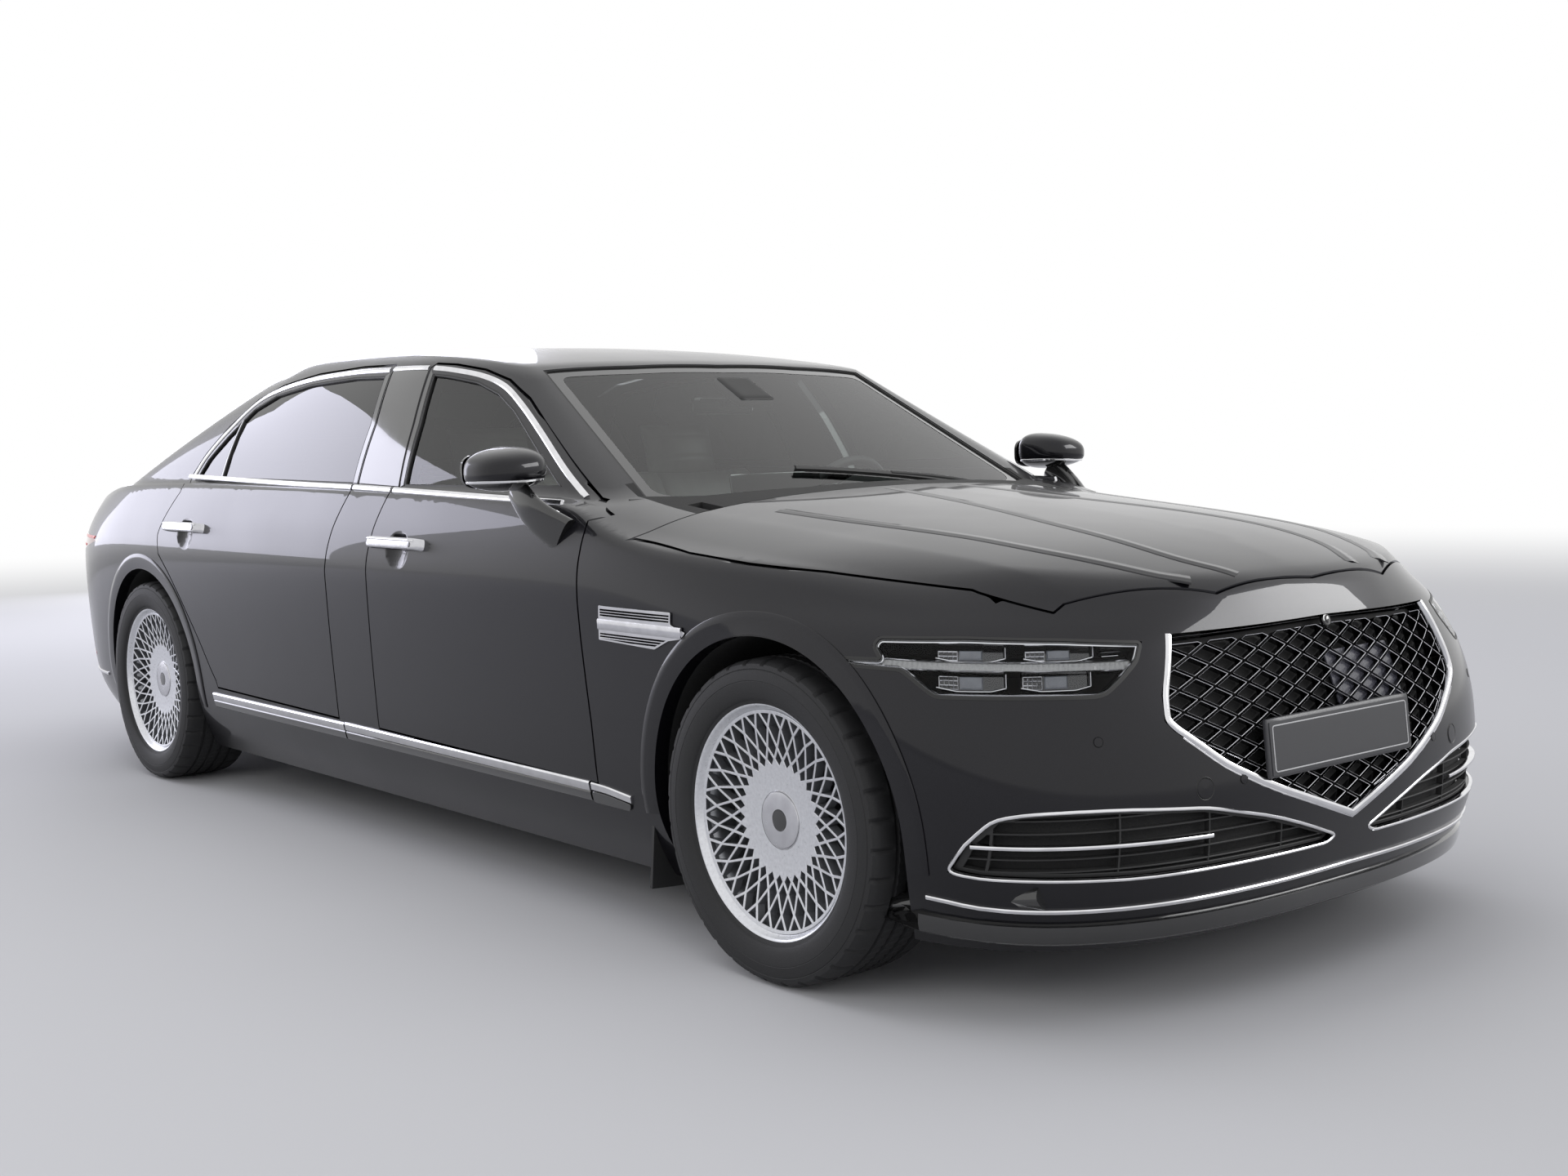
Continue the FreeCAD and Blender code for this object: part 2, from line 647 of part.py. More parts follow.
def front_bumper_half():
    body = SHELL.common(side_prism(BUMPER_FRONT))
    body = body.cut(bonnet_prism(PANEL_GAP))
    body = body.cut(headlamp_space())
    body = body.cut(arch_space(FRONT_AXLE_X, ARCH_RADIUS))
    body = body.cut(GRILLE_SPACE).cut(INTAKE_SPACE)
    return body


def headlamp_space(grow=0.0):
    """The space inside the lamp's outline, which runs square to the car's front right corner."""
    slant = math.sqrt(0.5)
    corners = []
    for ahead, z in grown(HEADLAMP_OUTLINE, grow) if grow else HEADLAMP_OUTLINE:
        corners.append(Vector(slant * (ahead + LAMP_NEAR), slant * (ahead - LAMP_NEAR), z))
    loop = Part.makePolygon(corners + corners[:1])
    return Part.Face(loop).extrude(Vector(slant, -slant, 0) * (LAMP_FAR - LAMP_NEAR))


def front_prism(points, x0, x1):
    """The space inside a front-view outline given as (y, z) pairs."""
    corners = [Vector(x0, y, z) for y, z in points]
    return Part.Face(Part.makePolygon(corners + corners[:1])).extrude(Vector(x1 - x0, 0, 0))


GRILLE_SPACE = front_prism(GRILLE_OUTLINE, 2400, 2900)
INTAKE_SPACE = front_prism(INTAKE_OUTLINE, 2250, 2900)

FRONT_BULKHEAD = half_box(DOOR_ZONE[1], ENGINE_ZONE, -FAR, 1, 0, FAR)
REAR_BULKHEAD = half_box(BOOT_ZONE, DOOR_ZONE[0], -FAR, 1, 0, FAR)


def lid_prism(grow):
    """The space of the boot lid: behind its front edge, between its sides and above its lower edge."""
    side = [(LID_FRONT_X + grow, PLAN_TOP), (LID_FRONT_X + grow, 985), (-2300, 960 - grow),
            (-2480, LID_BOTTOM_Z - grow), (-2900, LID_BOTTOM_Z - grow), (-2900, PLAN_TOP)]
    return side_prism(side, 0, -LID_HALF_WIDTH - grow, 0)


def inner_wall():
    """The bulkheads ahead of and behind the cabin, the shelf behind the rear seats and the wheel house liners."""
    front = INNER_SKIN.common(FRONT_BULKHEAD).common(half_box(-FAR, FAR, -FAR, 0, FLOOR_TOP, FAR))
    front = front.cut(bonnet_prism(60)).cut(half_box(0, FAR, -TUNNEL_HALF, 1, 0, TUNNEL_TOP))
    rear = INNER_SKIN.common(REAR_BULKHEAD).common(half_box(-FAR, FAR, -FAR, 0, REAR_FLOOR_TOP, FAR))
    shelf = half_box(-1800, BOOT_ZONE, -700, 0, 940, 960)
    walls = [front, rear, shelf.common(INNER_SKIN)]
    for x in (FRONT_AXLE_X, REAR_AXLE_X):
        ring = cylinder_y(ARCH_RADIUS + LINER, x, TYRE_RADIUS, -FAR, -WHEEL_HOUSE_Y)
        ring = ring.cut(cylinder_y(ARCH_RADIUS, x, TYRE_RADIUS, -FAR, -WHEEL_HOUSE_Y - LINER))
        ring = ring.common(INNER).common(half_box(-FAR, FAR, -FAR, 0, FLOOR_TOP, FAR))
        walls.append(ring.cut(half_box(x - FAR, x + FAR, -WHEEL_HOUSE_Y - LINER, 0, 0, REAR_FLOOR_TOP)))
    walls.append(SHELL.common(COWL).cut(bonnet_prism(PANEL_GAP)).cut(plan_prism(WINDSCREEN_PLAN, 1000, FAR)))
    whole = fuse_all(walls)
    for x in (FRONT_AXLE_X, REAR_AXLE_X):
        whole = whole.cut(cylinder_y(ARCH_RADIUS, x, TYRE_RADIUS, -FAR, -WHEEL_HOUSE_Y - LINER))
    x, z = BONNET_AXIS
    pocket = half_box(x - HINGE_EYE - HINGE_ROOM, x + 190, -HINGE_ARM_Y - HINGE_ARM_WIDE - HINGE_ROOM,
                      -HINGE_ARM_Y + 2 * HINGE_ARM_WIDE, z - HINGE_EYE - HINGE_ROOM, PLAN_TOP)
    return whole.cut(pocket).fuse([bonnet_hinge_bracket()] + front_leaves())


COWL = half_box(1120, 1500, -700, 1, 800, 1120)


def bonnet_hinge_bracket():
    """An ear on the front bulkhead with the pin that the bonnet's arm turns on."""
    x, z = BONNET_AXIS
    near = -HINGE_ARM_Y - SEAT_GAP
    ear = half_box(ENGINE_ZONE - 30, x + 12, near - HINGE_ARM_WIDE, near, z - 15, z + 12)
    return ear.fuse(cylinder_y(HINGE_PIN, x, z, near, -HINGE_ARM_Y + HINGE_ARM_WIDE + 4))


def bonnet_hinge_arm():
    """The arm under the bonnet's rear corner, with an eye on the bracket's pin."""
    x, z = BONNET_AXIS
    y0, y1 = -HINGE_ARM_Y, -HINGE_ARM_Y + HINGE_ARM_WIDE
    arm = cylinder_y(HINGE_EYE, x, z, y0, y1)
    arm = arm.fuse(side_prism([(x, z - 9), (x + 180, z - 20), (x + 180, z + 12), (x, z + 9)], 0, y0, y1))
    return arm.cut(cylinder_y(HINGE_PIN + PIN_CLEAR, x, z, y0 - 1, y1 + 1))


def body_side_half():
    body = SHELL.cut(half_box(-FAR, FAR, -SILL_INNER_Y, 1, 0, FLOOR_TOP))
    body = body.cut(half_box(-FAR, REAR_FLOOR_X, -SILL_INNER_Y, 1, 0, REAR_FLOOR_TOP))
    body = body.cut(side_prism(FENDER)).cut(side_prism(BUMPER_FRONT, SPLIT_GAP))
    body = body.cut(side_prism(BUMPER_REAR))
    body = body.cut(INNER_SKIN.common(FRONT_BULKHEAD)).cut(INNER_SKIN.common(REAR_BULKHEAD)).cut(COWL)
    body = body.cut(door_prism(FRONT_DOOR, FRONT_DOOR_REAR_EDGE, DOOR_GAP))
    body = body.cut(door_prism(REAR_DOOR, REAR_DOOR_REAR_EDGE, DOOR_GAP))
    body = body.cut(bonnet_prism(PANEL_GAP)).cut(lid_prism(PANEL_GAP))
    body = body.cut(plan_prism(ROOF_PLAN, 1200, FAR)).cut(plan_prism(WINDSCREEN_PLAN, 1000, FAR))
    body = body.cut(plan_prism(REAR_SCREEN_PLAN, 1000, FAR))
    body = body.cut(half_box(ENGINE_ZONE - 60, FAR, -700, 1, 300, FAR))
    body = body.cut(tail_lamp_space()).cut(arch_space(REAR_AXLE_X, ARCH_RADIUS))
    body = body.cut(arch_space(FRONT_AXLE_X, ARCH_RADIUS)).cut(front_leaves())
    return fuse_all([body] + hinge_leaves())


def front_leaves():
    """The body's half of each front door hinge, on the front bulkhead's edge."""
    leaves = []
    for z in HINGE_HEIGHTS:
        edge = edge_x(FRONT_DOOR, [(0, 1), (1, 2)], z - LEAF_HALF, z + LEAF_HALF) + SEAT_GAP
        leaves.append(half_box(edge, DOOR_ZONE[1] + 4, -888, -868, z - LEAF_HALF, z + LEAF_HALF))
    return leaves


def hinge_leaves():
    """The body's half of each rear door and boot lid hinge, which reaches to the edge that it carries."""
    leaves = []
    for z in HINGE_HEIGHTS:
        edge = edge_x(REAR_DOOR, [(0, 1), (1, 2)], z - LEAF_HALF, z + LEAF_HALF) + SEAT_GAP
        leaves.append(half_box(edge, edge + 12, -900, -872, z - LEAF_HALF, z + LEAF_HALF))
    leaves.append(half_box(LID_FRONT_X + SEAT_GAP, LID_FRONT_X + 9, -480, -420, 1046, 1062))
    return leaves


def tail_lamp_space():
    return side_prism(TAIL_LAMP_SIDE, 0, -1200, -LID_HALF_WIDTH - PANEL_GAP)


def fender_half():
    body = SHELL.common(side_prism(FENDER))
    body = body.cut(bonnet_prism(PANEL_GAP)).cut(side_prism(BUMPER_FRONT))
    body = body.cut(headlamp_space()).cut(arch_space(FRONT_AXLE_X, ARCH_RADIUS))
    body = body.cut(INNER_SKIN.common(FRONT_BULKHEAD)).cut(front_leaves())
    body = body.cut(side_prism(VENT_OUTLINE, 0, -1200, skin_y(VENT_OUTLINE[0][0], VENT_OUTLINE[0][1]) + VENT_POCKET))
    return body.cut(half_box(-FAR, FAR, -700, 1, 0, FAR)).cut(half_box(2500, FAR, -FAR, 1, 0, FAR))


def rear_bumper_half():
    body = SHELL.common(side_prism(BUMPER_REAR))
    return body.cut(lid_prism(PANEL_GAP)).cut(arch_space(REAR_AXLE_X, ARCH_RADIUS))


def roof_half():
    return SHELL.common(plan_prism(ROOF_PLAN, 1200, FAR))


def bonnet_half():
    return SHELL.common(bonnet_prism(0)).fuse(bonnet_hinge_arm())


def lid_half():
    return SHELL.common(lid_prism(0))


def windscreen_half():
    return GLASS_SHEET.common(plan_prism(WINDSCREEN_PLAN, 1010, FAR)).cut(OUTER_LOWER)


def rear_window_half():
    return GLASS_SHEET.common(plan_prism(REAR_SCREEN_PLAN, 1010, FAR)).cut(OUTER_LOWER)


def floor_half():
    """The floor: low and flat under the cabin, open under the engine, stepping up ahead of the rear axle."""
    low = half_box(REAR_FLOOR_X, 2225, -SILL_INNER_Y, 0, UNDERSIDE, FLOOR_TOP)
    low = low.cut(half_box(1600, 2225, -BAY_HALF, 0, UNDERSIDE, FLOOR_TOP))
    riser = half_box(REAR_FLOOR_X - FLOOR_SHEET, REAR_FLOOR_X, -SILL_INNER_Y, 0, UNDERSIDE, REAR_FLOOR_TOP)
    high = half_box(-FAR, REAR_FLOOR_X, -SILL_INNER_Y, 0, REAR_FLOOR_TOP - FLOOR_SHEET, REAR_FLOOR_TOP)
    high = high.common(INNER_SKIN)
    tunnel = half_box(TUNNEL_REAR_X, FAR, -TUNNEL_HALF, 0, 0, FAR)
    floor = fuse_all([low, riser, high]).cut(tunnel)
    floor = floor.cut(arch_space(FRONT_AXLE_X, ARCH_RADIUS + LINER))
    return floor.cut(arch_space(REAR_AXLE_X, ARCH_RADIUS + LINER))


def headlamp_half():
    lamp = OUTER_LOWER.common(headlamp_space()).cut(bonnet_prism(PANEL_GAP))
    return lamp.cut(lower_body(LAMP_DEPTH, LAMP_DEPTH, 300))


def tail_lamp_half():
    lamp = OUTER_LOWER.common(tail_lamp_space())
    return lamp.cut(lower_body(LAMP_DEPTH, LAMP_DEPTH, 300))


def grille_openings():
    """The diamond openings between the grille's crossing bars, on the right, kept inside its frame."""
    wide, high = GRILLE_PITCH_Y / 2, GRILLE_PITCH_Z / 2
    bar = GRILLE_BAR / 2 * math.hypot(wide, high)
    half_y, half_z = wide - bar / high, high - bar / wide
    cells = []
    for row in range(-17, 4):
        z = GRILLE_NODE_Z + row * high
        for column in range(0, 7):
            y = -(2 * column + (row % 2 == 0)) * wide
            points = [(y - half_y, z), (y, z - half_z), (y + half_y, z), (y, z + half_z)]
            cells.append(front_prism(points, 2400, 2900))
    inside = grown(GRILLE_OUTLINE[1:-1] + [(200, 770), (200, 300)], -GRILLE_FRAME)
    return Part.Compound(cells).common(front_prism(inside, 2400, 2900))


def intake_openings():
    """The slots between the intake's level and upright bars, on the right, kept inside its frame."""
    cells = []
    for row in range(6):
        z = INTAKE_OUTLINE[0][1] - 20 + row * INTAKE_PITCH_Z
        for column in range(5):
            y = -column * INTAKE_PITCH_Y
            cells.append(half_box(2250, 2900, y - INTAKE_PITCH_Y + INTAKE_BAR, y, z, z + INTAKE_PITCH_Z - INTAKE_BAR))
    return Part.Compound(cells).common(front_prism(grown(INTAKE_OUTLINE, -INTAKE_FRAME), 2250, 2900))


def grille_half():
    """The lattice grille set back in its opening, and the barred lower intake beside it."""
    layer = lower_body(GRILLE_SETBACK, GRILLE_SETBACK, 160).cut(lower_body(SKIN_WALL, SKIN_WALL, 160))
    grille = layer.common(GRILLE_SPACE).cut(bonnet_prism(PANEL_GAP)).cut(grille_openings())
    intake = layer.common(INTAKE_SPACE).cut(arch_space(FRONT_AXLE_X, ARCH_RADIUS + 20)).cut(intake_openings())
    return Part.Compound([grille, intake])


def side_vent():
    """The slatted vent in the front wing, with its bar between an upper and a lower row of slots."""
    space = side_prism(grown(VENT_OUTLINE, -SEAT_GAP), 0, -1200, -700)
    vent = space.common(lower_body(-VENT_PROUD, -VENT_PROUD, 300)).cut(lower_body(VENT_DEPTH, VENT_DEPTH, 300))
    slots = []
    start = VENT_OUTLINE[0][0] + VENT_PITCH / 2
    for i in range(11):
        x = start + i * VENT_PITCH
        slots.append(side_prism([(x, 762), (x + VENT_SLOT, 762), (x + VENT_SLOT, 777), (x, 777)]))
        if i < 9:
            slots.append(side_prism([(x, 712), (x + VENT_SLOT, 712), (x + VENT_SLOT, 724), (x, 724)]))
    return vent.cut(Part.Compound(slots))


def slot_outline(x0, x1, z, half):
    """A long outline with round ends, as (x, z) pairs."""
    points = []
    for middle, start in ((x1 - half, -90), (x0 + half, 90)):
        for i in range(7):
            a = math.radians(start + 30 * i)
            points.append((middle + half * math.cos(a), z + half * math.sin(a)))
    return points


def door_handle(place):
    """A bar that stands off the door on a foot at each end."""
    x0, x1, z = place
    space = side_prism(slot_outline(x0, x1, z, HANDLE_HALF_HIGH), 0, -1200, -800)
    whole = space.common(lower_body(-HANDLE_OUT, -HANDLE_OUT, 300)).cut(lower_body(-SEAT_GAP, -SEAT_GAP, 300))
    hand_room = half_box(x0 + HANDLE_FOOT, x1 - HANDLE_FOOT, -1200, -800, z - 50, z + 50)
    inside = lower_body(HANDLE_THICK - HANDLE_OUT, HANDLE_THICK - HANDLE_OUT, 300)
    return whole.cut(hand_room.common(inside))


def handle_cup(place):
    """The hollow in the door behind the middle of a handle."""
    x0, x1, z = place
    middle = (x0 + x1) / 2
    return Part.makeSphere(CUP_RADIUS, Vector(middle, skin_y(middle, z) - CUP_RADIUS + CUP_DEPTH, z + CUP_UP))


def mirror_right():
    """The housing lofted from its glass forwards to its rounded front, on an arm from the door."""
    cx, cy, cz = MIRROR_CENTRE
    a, b, c = MIRROR_HALF
    rings = []
    for share in (-0.68, -0.35, 0.0, 0.35, 0.65, 0.86, 0.97):
        size = math.sqrt(1 - share * share)
        oval = Part.Ellipse(Vector(0, 0, 0), b * size, c * size).toShape()
        oval.rotate(Vector(0, 0, 0), Vector(0, 1, 0), 90)
        oval.rotate(Vector(0, 0, 0), Vector(1, 0, 0), 90)
        oval.translate(Vector(cx + a * share, cy, cz))
        rings.append(Part.Wire(oval))
    housing = Part.makeLoft(rings, True)
    arm = tapered_prism(
        [Vector(1150, -850, 930), Vector(1235, -850, 930), Vector(1235, -850, 968), Vector(1150, -850, 968)],
        [Vector(985, -985, 1060), Vector(1060, -985, 1060), Vector(1060, -985, 1090), Vector(985, -985, 1090)])
    return housing.fuse(arm).cut(OUTER)


def revolve(profile, x, z, y_of):
    """A ring about the axle at (x, z) from (radius, distance outboard) pairs."""
    corners = [Vector(x, y_of(w), z + r) for r, w in profile]
    face = Part.Face(Part.makePolygon(corners + corners[:1]))
    return face.revolve(Vector(x, 0, z), Vector(0, 1, 0), 360)


def tyre(x, centre_y):
    w, r, b = HALF_TYRE, TYRE_RADIUS, RIM_RADIUS
    bead = w * 0.8 - SEAT_GAP
    profile = [(b, -bead), (b + 10, -bead), (b + 12, -w * 0.88), (b + 50, -w), (r - 28, -w * 0.97),
               (r - 8, -w * 0.86), (r, -w * 0.7), (r, w * 0.7), (r - 8, w * 0.86), (r - 28, w * 0.97),
               (b + 50, w), (b + 12, w * 0.88), (b + 10, bead), (b, bead)]
    return revolve(profile, x, TYRE_RADIUS, lambda s: -(centre_y + s))


def mesh_openings(x, centre_y):
    """The openings between the wheel's bars, from the hub out to the rim. Each ring's nodes lie half a step
    round from the next ring's."""
    step = 2 * math.pi / MESH_COUNT
    inner, first, second, third, outer = MESH_RINGS
    shapes = [([(inner, 0.5), (first, 0), (second, 0.5), (first, 1)], 0),
              ([(first, 0), (second, -0.5), (third, 0), (second, 0.5)], 0),
              ([(second, 0.5), (third, 0), (outer, 0.5), (third, 1)], 1),
              ([(third, 0), (outer, -0.5), (outer + 30, 0), (outer, 0.5)], 1)]
    cells = []
    for corners, meets_rim in shapes:
        flat = [(r * math.sin(turn * step), r * math.cos(turn * step)) for r, turn in corners]
        opening = side_prism(grown(flat, -MESH_BAR / 2), 0, -centre_y - TYRE_WIDTH, -centre_y)
        if meets_rim:
            opening = opening.common(cylinder_y(MESH_EDGE, 0, 0, -centre_y - TYRE_WIDTH, -centre_y))
        opening.translate(Vector(x, 0, TYRE_RADIUS))
        for i in range(MESH_COUNT):
            cell = opening.copy()
            cell.rotate(Vector(x, 0, TYRE_RADIUS), Vector(0, 1, 0), math.degrees(step) * i)
            cells.append(cell)
    return cells


def rim(x, centre_y):
    """The wheel: barrel, dished mesh face, hub and brake disc, on the right."""
    w, b = HALF_TYRE * 0.8, RIM_RADIUS
    barrel = revolve([(b, -w), (b + 9, -w), (b + 9, -w - 8), (b - 8, -w - 8), (b - 20, -w + 20), (b - 22, w - 40),
                      (b - 10, w + 8), (b + 9, w + 8), (b + 9, w), (b, w)], x, TYRE_RADIUS,
                     lambda s: -(centre_y + s))
    face = revolve([(HUB_BORE, w - 62), (120, w - 34), (b - 8, w - 4), (b - 8, w - 26), (120, w - 58), (60, w - 92),
                    (HUB_BORE, w - 92)], x, TYRE_RADIUS, lambda s: -(centre_y + s))
    face = face.cut(Part.Compound(mesh_openings(x, centre_y)))
    disc = revolve([(60, w - 92), (185, w - 92), (185, w - 124), (60, w - 124)], x, TYRE_RADIUS,
                   lambda s: -(centre_y + s))
    hub = revolve([(HUB_BORE, w - 150), (HUB_BORE, w - 92), (60, w - 92), (60, w - 150)], x, TYRE_RADIUS,
                  lambda s: -(centre_y + s))
    return barrel.fuse([face, disc, hub])


def knuckle_right(x, centre_y):
    """The hub carrier with its spindle in the wheel's hub, its caliper and its lugs."""
    inner = centre_y + HUB_INNER - 2
    spindle = cylinder_y(SPINDLE, x, TYRE_RADIUS, -(centre_y + HUB_OUTER - 4), -inner)
    carrier = cylinder_y(75, x, TYRE_RADIUS, -inner, -inner + KNUCKLE_THICK)
    lower = half_box(x - 28, x + 28, -inner, -inner + KNUCKLE_THICK, TYRE_RADIUS - 140, TYRE_RADIUS)
    upper = half_box(x - 24, x + 24, -inner, -inner + KNUCKLE_THICK, TYRE_RADIUS, TYRE_RADIUS + 150)
    sweep = Part.makeCylinder(STEER_Y - inner + KNUCKLE_THICK, 2 * TYRE_RADIUS, Vector(x, -STEER_Y, 0))
    return fuse_all([spindle, carrier, lower.common(sweep), upper.common(sweep)])


def caliper(x, centre_y):
    w = HALF_TYRE * 0.8
    outer = centre_y + w - 92 + 26
    inner = centre_y + HUB_INNER - 2 - KNUCKLE_THICK
    block = revolve([(118, 0), (205, 0), (205, 1), (118, 1)], x, TYRE_RADIUS, lambda s: -outer + s * (outer - inner))
    sector = half_box(x - 260, x - 90, -outer, -inner, TYRE_RADIUS - 95, TYRE_RADIUS + 95)
    slot = cylinder_y(192, x, TYRE_RADIUS, -(centre_y + w - 92 + 6), -(centre_y + w - 124 - 6))
    arm = half_box(x - 125, x - 60, -inner - KNUCKLE_THICK, -inner, TYRE_RADIUS - 30, TYRE_RADIUS + 30)
    return block.common(sector).cut(slot).fuse(arm)


def front_suspension():
    """The subframe across the car, with a lower and an upper arm to each knuckle, the rack and engine mounts."""
    x, low, base = FRONT_AXLE_X, TYRE_RADIUS - 105, FLOOR_TOP
    reach = FRONT_RIM_Y + HUB_INNER - 2 - KNUCKLE_THICK - BALL_GAP
    beam = half_box(x - 190, x + 190, -330, 0, base, low + 20)
    rail = half_box(x - 260, x + 290, -400, -330, base, low + 40)
    rack = cylinder_y(24, x - 215, low + 30, -400, 0)
    mount = half_box(x - 120, x - 40, -280, -230, low + 20, ENGINE_BASE)
    parts = [beam, rail, rack, mount]
    for foot in (-150, 150):
        parts.append(rod(15, (x + foot, -340, low), (x, -reach + 20, low)))
    parts.append(cylinder_y(18, x, low, -reach, -reach + 40))
    upper = TYRE_RADIUS + 125
    for foot in (-110, 110):
        parts.append(rod(11, (x + foot, -410, upper), (x, -reach + 18, upper)))
    parts.append(cylinder_y(14, x, upper, -reach, -reach + 36))
    parts.append(half_box(x - 140, x + 140, -425, -395, low, upper + 20))
    return fuse_all(parts)


def rear_suspension():
    """The rear subframe and drive unit, with the half shafts, arms and hub carriers, which don't steer."""
    x, mid, top = REAR_AXLE_X, TYRE_RADIUS, REAR_FLOOR_TOP - FLOOR_SHEET
    inner = REAR_RIM_Y + HUB_INNER - 2 - KNUCKLE_THICK
    parts = [half_box(x - 230, x + 230, -380, 0, mid - 110, mid - 60),
             half_box(x - 260, x + 260, -430, -370, mid - 115, mid - 40),
             half_box(x - 120, x + 150, -150, 0, mid - 60, mid + 110), cylinder_y(26, x, mid, -inner - 1, -140)]
    for foot, z in ((-190, mid - 90), (190, mid - 90), (-150, mid + 110), (150, mid + 110)):
        parts.append(rod(15, (x + foot, -400, z), (x + foot * 0.1, -inner, z)))
    for foot in (-150, 150):
        parts.append(half_box(x + foot - 20, x + foot + 20, -425, -385, mid - 100, top))
    parts.append(half_box(x - 45, x + 45, -inner - 1, -inner + 30, mid - 140, mid + 150))
    parts += [knuckle_right(x, REAR_RIM_Y), caliper(x, REAR_RIM_Y)]
    return fuse_all(parts)


def engine():
    """The engine and gearbox as one plain block on the front subframe's mounts."""
    return half_box(1480, 2130, -290, 290, ENGINE_BASE, 860).fuse(half_box(900, 1480, -160, 160, 240, 520))


def front_seat():
    y = -385
    cushion = half_box(-30, 560, y - 250, y + 250, FLOOR_TOP, 420)
    cushion = cushion.fuse(half_box(30, 560, y - 250, y + 250, 420, 545))
    back = sheared_box(10, 150, y, 255, 440, 1150, -0.42)
    head = sheared_box(-255, -165, y, 130, 1160, 1330, -0.3)
    posts = [rod(7, (-212, y + side, 1120), (-225, y + side, 1180)) for side in (-60, 60)]
    return fuse_all([cushion, back, head] + posts)


def sheared_box(x0, x1, y, half, z0, z1, lean):
    """An upright cushion that leans back as it rises."""
    near = [(x0, z0), (x1, z0), (x1 + lean * (z1 - z0), z1), (x0 + lean * (z1 - z0), z1)]
    return side_prism(near, 0, y - half, y + half)


def rear_seat():
    y = -350
    cushion = half_box(-1010, -500, y - 350, 0, FLOOR_TOP + 120, 520).fuse(
        half_box(-1010, -560, y - 350, 0, FLOOR_TOP, FLOOR_TOP + 120))
    back = side_prism([(-1000, 430), (-880, 430), (-1060, 1060), (-1190, 1060)], 0, y - 350, 0)
    head = sheared_box(-1190, -1100, y, 130, 1060, 1215, -0.25)
    return fuse_all([cushion, back, head])


def dashboard():
    """The dash across the car, with the console between the seats and the steering column."""
    outline = [(880, 640), (860, 900), (960, 985), (1150, 1005), (1240, 960), (1240, 640)]
    dash = side_prism(outline, 0, -DASH_HALF, DASH_HALF)
    dash = dash.common(both_sides(INNER_DOOR))
    console = side_prism([(-350, 225), (-350, 560), (300, 620), (860, 760), (885, 760), (885, 225)], 0, -95, 95)
    column = rod(38, COLUMN_FOOT, COLUMN_TOP)
    return fuse_all([dash, console, column])


def steering_wheel():
    centre, axis = Vector(*STEERING_CENTRE), Vector(*COLUMN_AXIS)
    ring = Part.makeTorus(STEERING_WHEEL_RADIUS - 16, 16, centre, axis)
    boss = Part.makeCylinder(70, 50, centre - axis * 40, axis)
    up = Vector(math.sin(TILT), 0, math.cos(TILT))
    spokes = []
    for across in (-1, 1):
        tip = centre + Vector(0, across * (STEERING_WHEEL_RADIUS - 18), 0)
        spokes.append(Part.makeCylinder(14, (tip - centre).Length, centre - axis * 12, tip - centre))
    spokes.append(Part.makeCylinder(14, STEERING_WHEEL_RADIUS - 18, centre - axis * 12, -up))
    return fuse_all([ring, boss] + spokes)


def underbody():
    """The exhaust and the fuel tank, under the floor."""
    z = UNDERSIDE - 30.3
    pipes = [cylinder_x(30, 1200, -900, -110, z), half_box(-1150, -800, -260, -90, 155, UNDERSIDE)]
    pipes.append(rod(28, (-1120, -180, z), (-1300, -180, z)))
    tank = half_box(-1180, -620, 130, 600, 150, UNDERSIDE)
    return Part.Compound([fuse_all(pipes[:3]), tank])


def cylinder_x(radius, x1, x0, y, z):
    return Part.makeCylinder(radius, x1 - x0, Vector(x0, y, z), Vector(1, 0, 0))


def save(name, shape):
    shape.exportStep("parts/" + name + ".step")


def build():
    front_rim = rim(FRONT_AXLE_X, FRONT_RIM_Y)
    rear_rim = front_rim.copy()
    rear_rim.translate(Vector(REAR_AXLE_X - FRONT_AXLE_X, FRONT_RIM_Y - REAR_RIM_Y, 0))
    parts = {
        "floor_pan": both_sides(floor_half()),
        "roof": both_sides(roof_half()),
        "bonnet": both_sides(bonnet_half()),
        "boot_lid": both_sides(lid_half()),
        "front_bumper": both_sides(front_bumper_half()),
        "rear_bumper": both_sides(rear_bumper_half()),
        "grille": both_sides(grille_half()),
        "headlamps": pair(headlamp_half()),
        "tail_lamps": pair(tail_lamp_half()),
        "windscreen": both_sides(windscreen_half()),
        "rear_window": both_sides(rear_window_half()),
        "inner_walls": both_sides(inner_wall()),
        "dashboard": dashboard(),
        "front_seats": pair(front_seat()),
        "rear_seats": both_sides(rear_seat()),
        "engine_block": engine(),
        "front_suspension": both_sides(front_suspension()),
        "rear_suspension": both_sides(rear_suspension()),
        "underbody": underbody(),
        "steering_wheel": steering_wheel(),
        "side_vents": pair(side_vent()),
    }
    sided = {
        "body_side": body_side_half(),
        "fender": fender_half(),
        "front_door": front_door_body(),
        "rear_door": rear_door_body(),
        "front_door_glass": side_glass(FRONT_WINDOW),
        "rear_door_glass": side_glass(REAR_WINDOW),
        "mirror": mirror_right(),
        "front_door_handle": door_handle(FRONT_HANDLE),
        "rear_door_handle": door_handle(REAR_HANDLE),
        "front_knuckle": knuckle_right(FRONT_AXLE_X, FRONT_RIM_Y).fuse(caliper(FRONT_AXLE_X, FRONT_RIM_Y)),
        "front_rim": front_rim,
        "rear_rim": rear_rim,
        "front_tyre": tyre(FRONT_AXLE_X, FRONT_RIM_Y),
        "rear_tyre": tyre(REAR_AXLE_X, REAR_RIM_Y),
    }
    for name, shape in sided.items():
        parts[name + "_right"] = shape
        parts[name + "_left"] = mirrored(shape)
    for name, shape in parts.items():
        save(name, shape)
    return parts


PARTS = build()
